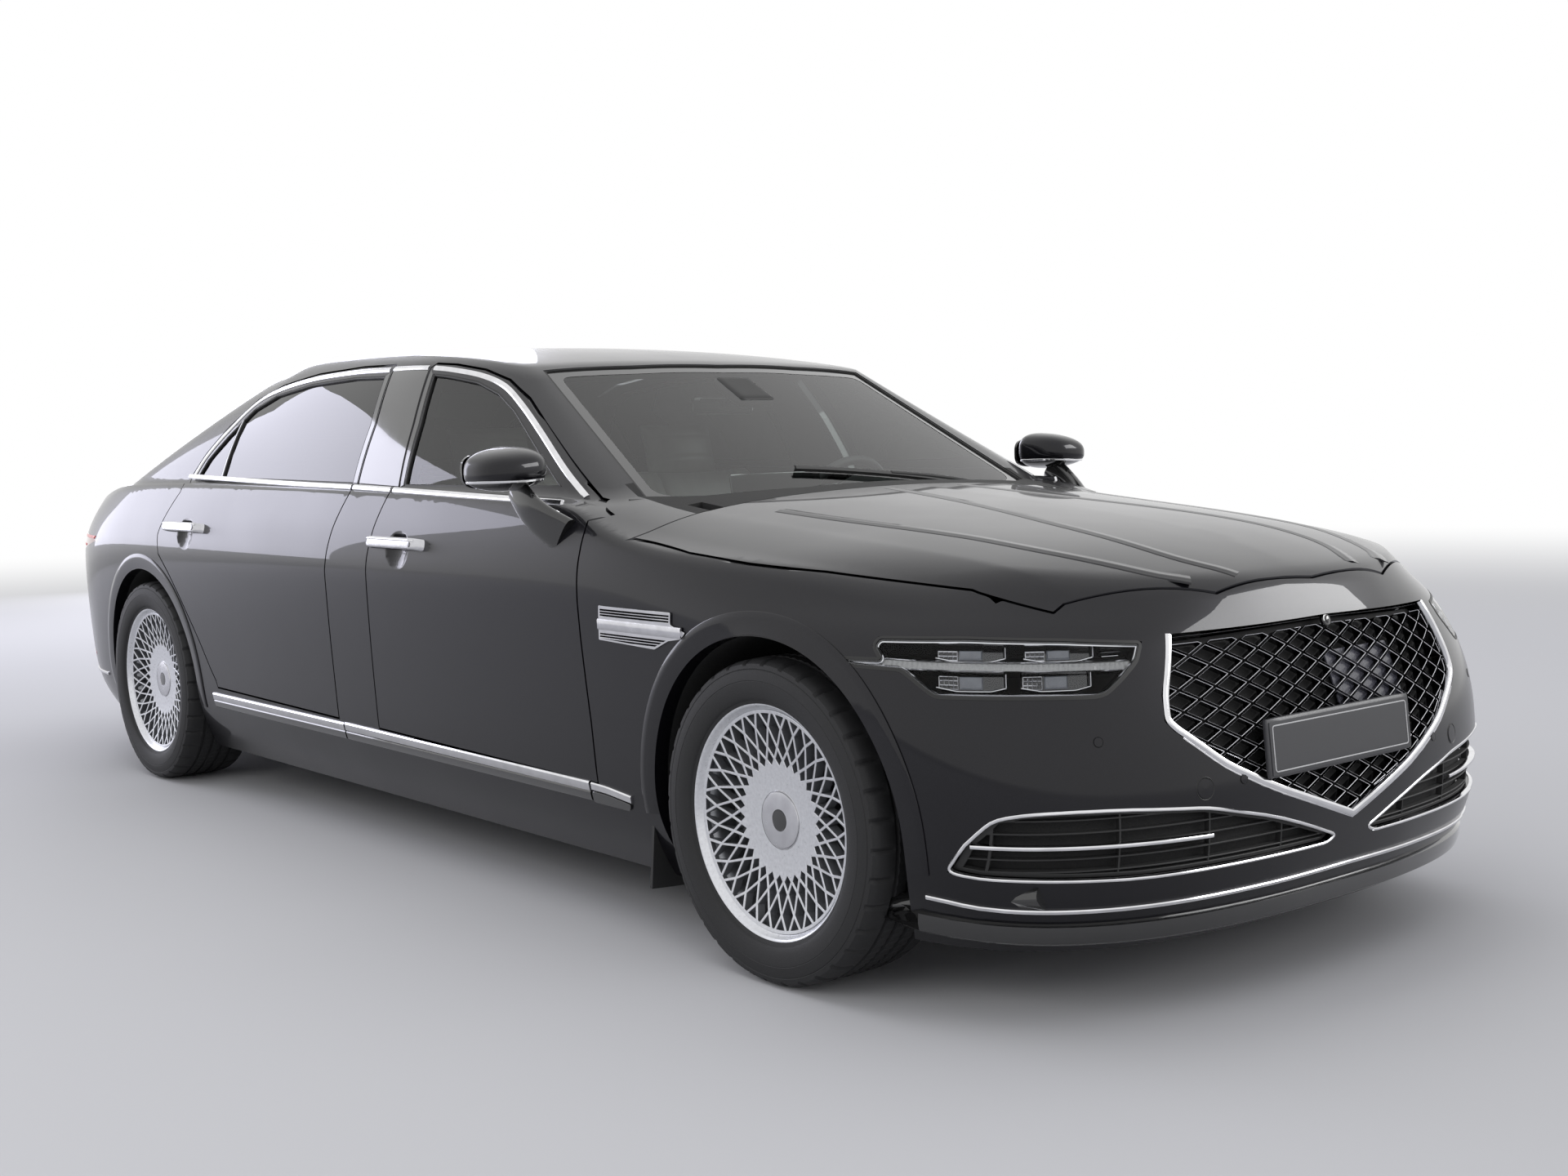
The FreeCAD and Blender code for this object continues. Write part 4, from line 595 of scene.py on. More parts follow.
def inside(ring, x, y):
    """Whether (x, y) lies within a closed ring of points."""
    found = False
    for a, b in zip(ring, ring[1:] + ring[:1]):
        if (a[1] > y) != (b[1] > y) and x < a[0] + (b[0] - a[0]) * (y - a[1]) / (b[1] - a[1]):
            found = not found
    return found


def twice_area(ring):
    """Twice the area of a closed ring of 2-D points, above 0 where it runs anticlockwise."""
    return sum(a[0] * b[1] - b[0] * a[1] for a, b in zip(ring, list(ring[1:]) + list(ring[:1])))


def grown(ring, grow):
    """A closed ring of 2-D points, each moved out so that its sides lie that much further out."""
    p = [Vector((q[0], q[1])) for q in ring]
    turn = 1.0 if twice_area(p) > 0 else -1.0
    out = []
    for a, b, c in zip(p[-1:] + p[:-1], p, p[1:] + p[:1]):
        u, v = (b - a), (c - b)
        if u.length < 1e-6 or v.length < 1e-6:
            out.append(b)
            continue
        m, n = Vector((u.y, -u.x)).normalized() * turn, Vector((v.y, -v.x)).normalized() * turn
        out.append(b + (m + n) * (grow / max(1 + m.dot(n), 0.35)))
    return out


def clipped(ring, border):
    """The part of a ring of 2-D points inside a border that bulges outwards all round, or none if it is tiny."""
    turn = 1.0 if twice_area(border) > 0 else -1.0
    out = [Vector((q[0], q[1])) for q in ring]
    for a, b in zip(border, border[1:] + border[:1]):
        a, b = Vector((a[0], a[1])), Vector((b[0], b[1]))
        edge = b - a
        rows, out = out, []
        for i, q in enumerate(rows):
            r = rows[i - 1]
            dq, dr = (turn * (edge.x * (s.y - a.y) - edge.y * (s.x - a.x)) for s in (q, r))
            if (dq >= 0) != (dr >= 0):
                out.append(r.lerp(q, dr / (dr - dq)))
            if dq >= 0:
                out.append(q)
        if not out:
            return []
    clean = [q for i, q in enumerate(out) if (q - out[i - 1]).length > 0.3]
    return clean if len(clean) > 2 and abs(twice_area(clean)) / 2 > LEAST_AREA else []


def upright(ring):
    """A closed ring of 2-D points, turned to run anticlockwise."""
    return list(ring) if twice_area(ring) > 0 else list(ring)[::-1]


def plate(name, ring, holes, where, mats, body, chamfer=0.8, depth=20.0, grid=0.0, twin=True, skirt=None, angle=30):
    """A plate over a closed ring of 2-D points, cut through by holes, with chamfered edges and deep flanks.
    where(a, b) gives the point and normal for a 2-D point. Materials: face, flanks."""
    ring, holes = upright(ring), [upright(h) for h in holes]
    flat = [Vector((q[0], q[1])) for q in grown(ring, -chamfer)]
    loops = [list(range(len(flat)))]
    rings = [(ring, -1.0)]
    for hole in holes:
        loops.append(list(range(len(flat), len(flat) + len(hole))))
        flat += [Vector((q[0], q[1])) for q in grown(hole, chamfer)]
        rings.append((hole, 1.0))
    if grid:
        lows = [min(q[k] for q in ring) for k in (0, 1)]
        highs = [max(q[k] for q in ring) for k in (0, 1)]
        border = [(q[0], q[1]) for q in grown(ring, -0.35 * grid)]
        b = lows[1] + grid / 2
        while b < highs[1]:
            a = lows[0] + grid / 2
            while a < highs[0]:
                if inside(border, a, b):
                    flat.append(Vector((a, b)))
                a += grid
            b += grid
    found, _, faces, _, _, inputs = delaunay_2d_cdt(flat, [], loops, 1, 1e-4)
    spots = [where(q.x, q.y) for q in found]
    verts, ups = [s[0] for s in spots], [s[1] for s in spots]
    rows = [(list(f), 0) for f, own in zip(faces, inputs) if len(own) == 1 and own[0] == 0]
    for (line, way), loop in zip(rings, loops):
        if depth <= 0:
            break
        start = len(verts)
        n = len(line)
        edge = [where(q[0], q[1]) for q in line]
        top = [where(flat[k].x, flat[k].y) for k in loop]
        deep = (skirt if skirt is not None and way < 0 else depth)
        for (t, _), (e, en) in zip(top, edge):
            verts += [t, e - en * chamfer, e - en * deep]
            ups += [None, None, None]
        for j in range(n):
            a, b = start + 3 * j, start + 3 * ((j + 1) % n)
            rows.append(([a, b, b + 1, a + 1], 0))
            rows.append(([a + 1, b + 1, b + 2, a + 2], 1))
    used = sorted({v for f, _ in rows for v in f})
    index = {v: i for i, v in enumerate(used)}
    verts, ups = [verts[v] for v in used], [ups[v] for v in used]
    rows = [([index[v] for v in f], m) for f, m in rows]
    if not isinstance(mats, (list, tuple)):
        mats = [mats, mats]
    return shaded(name, verts, rows, mats, body, ups, twin, angle)


def shaded(name, verts, rows, mats, body, ups, twin, angle=30):
    """A piece whose faces are turned to their points' normals, where those are known."""
    turned = []
    for f, m in rows:
        known = [ups[v] for v in f if ups[v] is not None]
        if known:
            a, b, c = (Vector(verts[v]) for v in f[:3])
            if (b - a).cross(c - a).dot(known[0]) < 0:
                f = f[::-1]
        turned.append((f, m))
    return put_down(name, verts, turned, mats, body, angle, ups, twin)


def patch(name, ring, kind, mat, body, surface=None, lift=0.0, depth=2.0, grid=28.0, step=14.0, radius=8.0,
          twin=True):
    """A sheet over a closed outline of a view, laid on the outer surface."""
    return plate(name, dense(ring, step, radius), [], lambda a, b: cast(kind, a, b, surface, lift), [mat, mat], body,
                 min(0.8, max(depth, 0.1) / 2), depth, grid, twin)


def lathe(profile, count, mark=None, swell=None):
    """Points and faces of a profile, (radius, outboard) pairs, turned about the y axis. A mark for each span of
    the profile is its material number."""
    k = len(profile)
    verts = []
    for i in range(count):
        a = 2 * math.pi * i / count
        for j, (r, w) in enumerate(profile):
            q = r + (swell(i, j) if swell else 0.0)
            verts.append((q * math.sin(a), -w, q * math.cos(a)))
    faces = []
    for i in range(count):
        for j in range(k - 1):
            a, b = i * k + j, ((i + 1) % count) * k + j
            faces.append(([a, a + 1, b + 1, b], mark[j] if mark else 0))
    return verts, faces


def rounded_box(size, radius, steps=3):
    """Points and faces of a box with softly rounded edges, round the origin. Sizes are full widths."""
    half = [s / 2 for s in size]
    work = bmesh.new()
    bmesh.ops.create_cube(work, size=2.0)
    bmesh.ops.subdivide_edges(work, edges=work.edges, cuts=2 * steps + 2, use_grid_fill=True)
    verts = []
    for v in work.verts:
        p = Vector([c * h for c, h in zip(v.co, half)])
        core = Vector([max(-(h - min(radius, h)), min(h - min(radius, h), c)) for c, h in zip(p, half)])
        off = p - core
        if off.length > 1e-9:
            off = off.normalized() * min(radius, min(half))
        verts.append(core + off)
    work.verts.index_update()
    faces = [[v.index for v in f.verts] for f in work.faces]
    work.free()
    return verts, faces


def moved(part, matrix):
    return [matrix @ Vector(v) for v in part[0]], part[1]


def facing(part, spot, up):
    """A part that faces -y, put at a spot and turned to face along up."""
    turn = Vector((0, -1, 0)).rotation_difference(up).to_matrix().to_4x4()
    return moved(part, Matrix.Translation(spot) @ turn)


def box(name, size, radius, steps, centre, mat, angle=35, tilt=0.0, twin=False):
    """A softly rounded box on the car's body, tilted about the y axis."""
    part = moved(rounded_box(size, radius, steps), Matrix.Translation(centre) @ Matrix.Rotation(tilt, 4, "Y"))
    return put_down(name, *part, mat, "body", angle, None, twin)


# Painted panels and glass

# In metres: how near a point lies to count as on a surface, how far shading rolls over where two surfaces meet,
# how deep the inner skin lies, the height that parts inwards from outwards, and the longest edge left undivided.
REACH = 0.0008
ROUND = 0.020
INNER_DEPTH = 0.012
MIDDLE_Z = 0.9
FINEST = 0.045


def panel(node, mat, body, surfaces, inner=None):
    """A dense copy of a CAD panel, whose outer skin is shaded with the exact normals of the surface it lies on.
    Where two outer surfaces meet, the shading rolls from one to the other."""
    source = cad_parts[node]
    mesh = source.data.copy()
    work = bmesh.new()
    work.from_mesh(mesh)
    bmesh.ops.remove_doubles(work, verts=work.verts, dist=2e-6)
    for _ in range(4):
        long = [e for e in work.edges if e.calc_length() > FINEST
                and all(any(s.near(v.co)[2] < REACH for s in surfaces) for v in e.verts)]
        if not long:
            break
        bmesh.ops.subdivide_edges(work, edges=long, cuts=1, use_grid_fill=False)
        bmesh.ops.triangulate(work, faces=[f for f in work.faces if len(f.verts) > 3])
    found = []
    for v in work.verts:
        hits = [s.near(v.co) for s in surfaces]
        best = min(hits, key=lambda h: h[2])
        closed = len(v.link_faces) and all(len(e.link_faces) == 2 for e in v.link_edges)
        alone = sum(1 for h in hits if h[2] < REACH) == 1
        if closed and alone and best[2] > 1e-5 and all(f.normal.dot(best[1]) > 0.9 for f in v.link_faces):
            v.co = best[0]
        found.append(hits)
    work.normal_update()
    work.verts.index_update()
    work.faces.index_update()
    rows = {}
    for f in work.faces:
        for v in f.verts:
            near = [(h[1].dot(f.normal), k) for k, h in enumerate(found[v.index]) if h[2] < REACH]
            normal = f.normal
            if near:
                score, k = max(near)
                if score > 0.8:
                    normal = found[v.index][k][1]
                    for m, h in enumerate(found[v.index]):
                        if m != k and h[2] < ROUND and h[1].dot(normal) > 0.1:
                            share = 0.5 * (1 - h[2] / ROUND)
                            normal = (normal * (1 - share) + h[1] * share).normalized()
            rows[(f.index, v.index)] = normal
        middle = f.calc_center_median()
        if inner and f.normal.dot(Vector((0, middle.y, 0.25 * (middle.z - MIDDLE_Z)))) < 0:
            if min(s.near(middle)[2] for s in surfaces) > INNER_DEPTH:
                f.material_index = 1
    work.to_mesh(mesh)
    work.free()
    mesh.shade_smooth()
    normals = [None] * len(mesh.loops)
    for p in mesh.polygons:
        for k, v in zip(p.loop_indices, p.vertices):
            normals[k] = rows.get((p.index, v), p.normal)
    mesh.normals_split_custom_set([tuple(n) for n in normals])
    mesh.materials.clear()
    mesh.materials.append(mat)
    if inner:
        mesh.materials.append(inner)
    obj = bpy.data.objects.new("skin_" + node, mesh)
    bpy.context.scene.collection.objects.link(obj)
    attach(obj, body)
    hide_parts(node)
    return obj


LOW = [LOWER, TOP]
HIGH = [CABIN, ROOF, LOWER, TOP]
for node, body, surfaces, inner in [
        ("bonnet", "bonnet", LOW, BLACK), ("boot_lid", "boot_lid", HIGH, CARPET),
        ("front_bumper", "body", LOW, BLACK), ("rear_bumper", "body", LOW, BLACK),
        ("roof", "body", [ROOF, CABIN], HEADLINING),
        ("fender_right", "body", LOW, BLACK), ("fender_left", "body", LOW, BLACK),
        ("body_side_right", "body", HIGH, HEADLINING), ("body_side_left", "body", HIGH, HEADLINING),
        ("front_door_right", "front_door_right", HIGH, CARD), ("front_door_left", "front_door_left", HIGH, CARD),
        ("rear_door_right", "rear_door_right", HIGH, CARD), ("rear_door_left", "rear_door_left", HIGH, CARD)]:
    panel(node, PAINT, body, surfaces, inner=inner)

CARRIED = {
    "floor_pan": CARPET, "inner_walls": LINER_BLACK, "dashboard": DASH, "front_seats": LEATHER,
    "rear_seats": LEATHER, "engine_block": STEEL, "front_suspension": STEEL, "rear_suspension": STEEL,
    "underbody": PIPE, "steering_wheel": DASH, "grille": BLACK, "headlamps": BLACK, "tail_lamps": LAMP_RED,
    "windscreen": GLASS, "rear_window": GLASS, "mirror": PAINT, "front_knuckle": STEEL, "front_rim": ALLOY_GREY,
    "rear_rim": ALLOY_GREY, "front_tyre": RUBBER, "rear_tyre": RUBBER, "front_door_glass": GLASS,
    "rear_door_glass": TINTED, "side_vents": BLACK, "front_door_handle": SATIN, "rear_door_handle": SATIN}
for node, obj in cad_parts.items():
    mat = CARRIED.get(node) or CARRIED.get(node.replace("_right", "").replace("_left", ""))
    if mat:
        obj.data.materials.clear()
        obj.data.materials.append(mat)


def stands_for(objs, node):
    """Pieces that take the place of a CAD node, or of its right and left nodes."""
    names = [node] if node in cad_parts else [node + "_right", node + "_left"]
    for k, obj in enumerate(objs):
        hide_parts(*(names if len(names) == 1 or len(objs) == 1 else [names[k]]))


# Wheels and tyres, built round an axle at the origin, facing right.

MESH_COUNT, MESH_EDGE, MESH_BAR = 30, 232.0, 6.2
FACE = [(0, 68), (60, 69), (112, 72), (180, 82), (239, 94), (260, 98)]
STEP = 2 * math.pi / MESH_COUNT


def wheel_face(a, b):
    """The wheel's dished face at a point of its side view, right side, with the axle at the origin."""
    r = math.hypot(a, b)
    w, slope = smooth(FACE, r), (smooth(FACE, r + 1) - smooth(FACE, r - 1)) / 2
    if r < 1e-6:
        return Vector((0, -w, 0)), Vector((0, -1, 0))
    n = Vector((-slope * a / r, -1.0, -slope * b / r)).normalized()
    return Vector((a, -w, b)), n


def polar(r, turn):
    return (r * math.sin(turn * STEP), r * math.cos(turn * STEP))


def circle(r, count):
    return [(r * math.sin(2 * math.pi * k / count), r * math.cos(2 * math.pi * k / count)) for k in range(count)]


def mesh_holes():
    """The openings between the wheel's crossing bars, four to a step of its pattern."""
    holes, rim_ring = [], circle(MESH_EDGE, 240)
    for k in range(MESH_COUNT):
        for corners in ([(114, 0.5), (132, 0), (158, 0.5), (132, 1)], [(132, 0), (158, -0.5), (202, 0), (158, 0.5)],
                        [(158, 0.5), (202, 0), (247, 0.5), (202, 1)], [(202, 0), (247, -0.5), (280, 0), (247, 0.5)]):
            hole = grown([polar(r, k + t) for r, t in corners], -MESH_BAR / 2)
            if corners[2][0] > MESH_EDGE:
                hole = clipped(hole, rim_ring)
            if hole:
                holes.append(hole)
    return holes


def wheel_parts():
    """The wheel's pieces round its axle at the origin, facing right: mesh face, lip, barrel, cap and disc."""
    made = list(plate("wheel_face", circle(240.0, 240), mesh_holes(), wheel_face, [ALLOY, ALLOY_GREY], None, 0.9,
                      22.0, grid=15.0, twin=False, skirt=6.0, angle=25))
    lip = [(240, 92), (244, 95), (248, 103), (252, 107), (256, 107.5), (258.5, 106), (259, 102), (257, 98),
           (247, 97.5)]
    barrel = [(240, 93), (239, 84), (232, 74), (226, 60), (224, 20), (226, -40), (232, -80), (240, -96), (256, -99),
              (257, -104), (254, -107), (244, -104)]
    cap = [(0.1, 73.2), (14, 73.1), (21.5, 72.6), (22.2, 71.4), (23.4, 71.4), (24, 72.8), (40, 72.6), (56, 71.8),
           (60, 71.2), (61.0, 69.4), (62.4, 68.8), (63.6, 69.6), (66, 68.0)]
    disc = [(75, 2), (88, 6), (92, 6), (182, 6), (185, 4), (185, -5), (180, -7), (180, -17), (185, -19), (185, -26),
            (182, -28), (60, -28), (60, 2), (75, 2)]
    for name, profile, count, mat, angle, marks in [
            ("wheel_lip", lip, 180, ALLOY, 40, None), ("wheel_barrel", barrel, 120, ALLOY_GREY, 40, None),
            ("wheel_cap", cap, 96, [SATIN, PIANO], 30, [1, 1, 1, 1, 0, 0, 0, 0, 0, 1, 1, 0]),
            ("brake_disc", disc, 120, DISC, 30, None)]:
        made.append(piece(name, *lathe(profile, count, marks), mat, None, angle))
    return made


TREAD = [(-116, 340), (-108, 345), (-98, 348.6), (-70, 350.8), (-62, 351.2), (-60, 344.5), (-52, 344.5), (-50, 351.4),
         (-25, 351.5), (-23, 344.5), (-15, 344.5), (-13, 351.5), (13, 351.5), (15, 344.5), (23, 344.5), (25, 351.5),
         (50, 351.4), (52, 344.5), (60, 344.5), (62, 351.2), (70, 350.8), (98, 348.6), (108, 345), (116, 340)]


def tyre_parts():
    """The tyre: beaded sidewalls with fine rings, grooved tread with cross cuts."""
    side = [(248.5, 96), (249, 103), (252, 106.5), (257, 108.3), (262, 110.5), (263.5, 113.2), (268, 116.2),
            (276, 119.0), (285, 121.0), (296, 122.4), (303, 122.6), (304.2, 121.8), (305.4, 122.6), (312, 122.0),
            (320, 120.6), (327, 119.0), (328.4, 117.6), (330, 118.4), (336, 117.0)]
    profile = side + [(r, w) for w, r in TREAD[::-1]] + [(r, -w) for r, w in side[::-1]]
    first, last = len(side), len(side) + len(TREAD)

    def swell(i, j):
        if not first <= j < last:
            return 0.0
        w = abs(profile[j][1])
        cut = (i + (1 if w > 40 else 0)) % 4 == 0
        if w > 64:
            return -6.0 if cut and i % 8 < 5 else 0.0
        if 12 <= w <= 51 and abs(profile[j][0] - 351.5) < 1.0:
            return -2.2 if i % 3 == 0 else 0.0
        return 0.0

    return [piece("tyre", *lathe(profile, 288, None, swell), RUBBER, None, 32)]


FRONT_SPIN, REAR_SPIN = 0.13, 0.4


def fit_wheels():
    """Copies of one wheel and tyre at each axle end, each turned a little as wheels stand when parked."""
    models = wheel_parts() + tyre_parts()
    for body, x, y in [
            ("front_wheel_right", FRONT_AXLE, -FRONT_TRACK / 2), ("front_wheel_left", FRONT_AXLE, FRONT_TRACK / 2),
            ("rear_wheel_right", REAR_AXLE, -REAR_TRACK / 2), ("rear_wheel_left", REAR_AXLE, REAR_TRACK / 2)]:
        turn = Matrix.Rotation(math.pi if y > 0 else 0.0, 4, "Z")
        spin = Matrix.Rotation(FRONT_SPIN if x > 0 else REAR_SPIN, 4, "Y")
        place = Matrix.Translation(Vector((x, y, TYRE_RADIUS)) * MM) @ turn @ spin
        for model in models:
            mesh = model.data.copy()
            mesh.transform(place)
            obj = bpy.data.objects.new(model.name + "_" + body, mesh)
            bpy.context.scene.collection.objects.link(obj)
            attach(obj, body)
            if model.name == "wheel_face":
                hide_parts(body.replace("wheel", "rim"))
            if model.name == "tyre":
                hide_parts(body.replace("wheel", "tyre"))
    for model in models:
        bpy.data.objects.remove(model)


fit_wheels()

# Grille and lower intake

GRILLE = [(0, 346), (-263, 437), (-393, 498), (-505, 580), (-522, 600), (-515, 650), (-460, 762), (0, 770)]
GRILLE_FULL = GRILLE + [(-y, z) for y, z in GRILLE[-2:0:-1]]
INTAKE = [(-60, 316), (-161, 352), (-265, 384), (-443, 424), (-640, 440), (-742, 442), (-800, 438), (-836, 428),
          (-864, 378), (-872, 320), (-842, 312), (-588, 303), (-86, 304)]


def front_on(lift):
    return lambda a, b: cast("front", a, b, None, lift)


# The lattice: the height of one row of nodes, half its pitch and half of an opening, across and up.
NODE_Z, HALF_PITCH_Y, HALF_PITCH_Z, HALF_CELL_Y, HALF_CELL_Z = 700, 46.25, 21.5, 38.4, 17.7
PLATE_TILT = math.radians(-6)


def grille_pieces():
    inner = grown(GRILLE_FULL, -17.0)
    holes = []
    for row in range(-17, 5):
        z = NODE_Z + HALF_PITCH_Z * row
        for column in range(-7, 8):
            y = (2 * column + (row % 2 == 0)) * HALF_PITCH_Y
            cell = clipped([(y - HALF_CELL_Y, z), (y, z - HALF_CELL_Z), (y + HALF_CELL_Y, z), (y, z + HALF_CELL_Z)],
                           inner)
            if cell:
                holes.append(dense(cell))
    top_band = clipped(GRILLE_FULL, [(-700, 300), (700, 300), (700, 769), (-700, 769)])
    net = plate("grille_mesh", dense(grown(top_band, -2.0)), holes, front_on(-13.0), [MESH_METAL, SHADOW_CHROME],
                "body", 0.9, 20.0, twin=False, skirt=12.0, angle=20)
    stands_for(net, "grille")
    patch("grille_dark", grown(GRILLE_FULL, -3.0), "front", LINER_BLACK, "body", None, -37.0, 3.0, 45.0, 25.0,
          twin=False)
    line = line_on("front", [(0, 354), (-260, 445), (-389, 505), (-499, 585), (-514, 602), (-508, 648), (-456, 762)],
                   None, -3.0, 12.0, 30.0)
    whole = tuple([Vector((q.x, -q.y, q.z)) for q in row[:0:-1]] + row for row in line)
    trim("grille_frame", whole, [(-8, -9), (-8.5, 0), (-7, 3.2), (-3, 5.0), (2, 5.0), (6, 3.0), (8, -1), (8.5, -9)],
         CHROME, "body", twin=False)
    low = ([p for p in whole[0] if p.z < 575], [n for p, n in zip(*whole) if p.z < 575])
    trim("grille_keel", low, [(4, -10), (4.5, 2.0), (9, 3.2), (17, 0.6), (21, -6), (21, -12)], SATIN, "body",
         twin=False)
    trim("grille_inner_frame", whole, [(8, -14), (8, -3), (11, -1.5), (16, -5), (16, -14)], SHADOW_CHROME, "body",
         twin=False)
    patch("sensor_panel", [(-5, 697), (243, 699), (283, 562), (24, 576)], "front", SENSOR, "body", None, -26.0, 4.0,
          40.0, twin=False)
    part = facing(lathe([(0.1, 5), (6, 4), (9, 1), (12, 0.4), (13.5, -2), (13.5, -8)], 36),
                  *cast("front", 1, 759, None, -4.0))
    piece("nose_camera", *part, PIANO, "body", 30)
    box("plate_holder", (14.0, 512.0, 122.0), 6.0, 4, (2731.0, -27.0, 522.0), PLATE_DARK, 40, PLATE_TILT)
    box("plate_front", (3.0, 498.0, 108.0), 1.4, 3, (2737.4, -27.0, 521.5), PLATE_DARK, 40, PLATE_TILT)
    edge = [Vector((2739.0 + 0.105 * -b, -27.0 + a, 521.5 + b)) for a, b in
            dense([(-240, -46), (240, -46), (240, 46), (-240, 46)], 20.0, 7.0)]
    ups = [Vector((1, 0, 0.105)).normalized()] * len(edge)
    trim("plate_line", (edge, ups), crowned(2.6, 0.8, 1.0), PLATE, "body", True, twin=False)


# The intake's slots: the lowest row, the pitch, and the size of one.
SLOT_Z, SLOT_PITCH_Y, SLOT_PITCH_Z, SLOT_WIDE, SLOT_HIGH = 296, 205.0, 26.0, 201.5, 22.5


def intake_pieces():
    inner = grown(INTAKE, -9.0)
    holes = []
    for row in range(6):
        z = SLOT_Z + SLOT_PITCH_Z * row
        for column in range(5):
            y = -SLOT_PITCH_Y * column - 20
            cell = clipped([(y - SLOT_WIDE, z), (y, z), (y, z + SLOT_HIGH), (y - SLOT_WIDE, z + SLOT_HIGH)], inner)
            if cell:
                holes.append(dense(cell))
    plate("intake_bars", dense(grown(INTAKE, -1.0)), holes, front_on(-14.0), [BLACK, LINER_BLACK], "body", 0.8, 14.0,
          skirt=10.0)
    patch("intake_dark", grown(INTAKE, -2.0), "front", LINER_BLACK, "body", None, -36.0, 3.0, 45.0, 25.0)
    edge = line_on("front", grown(INTAKE, 1.0), None, 0.5, 12.0, 26.0, True)
    trim("intake_edge", edge, [(-3.2, -7), (-3.4, 0.4), (-2, 1.8), (1, 2.0), (3, 0.6), (3.4, -7)], CHROME, "body",
         True)
    blade = line_on("front", [(-858, 374), (-430, 368)], None, -6.0, 16.0)
    trim("intake_blade_0", blade, crowned(9.0, 6.0, 8.0), CHROME, "body")


grille_pieces()
intake_pieces()

# Headlamps

LAMP = [(878, 724), (907, 708), (1007, 705), (1058, 667), (1075, 657), (1223, 656), (1382, 653), (1405, 658),
        (1437, 684), (1468, 715), (1479, 752), (1321, 763), (1131, 769), (963, 767), (950, 750), (964, 727)]


def lamp_on(lift):
    return lambda a, b: cast("lamp", a, b, None, lift)


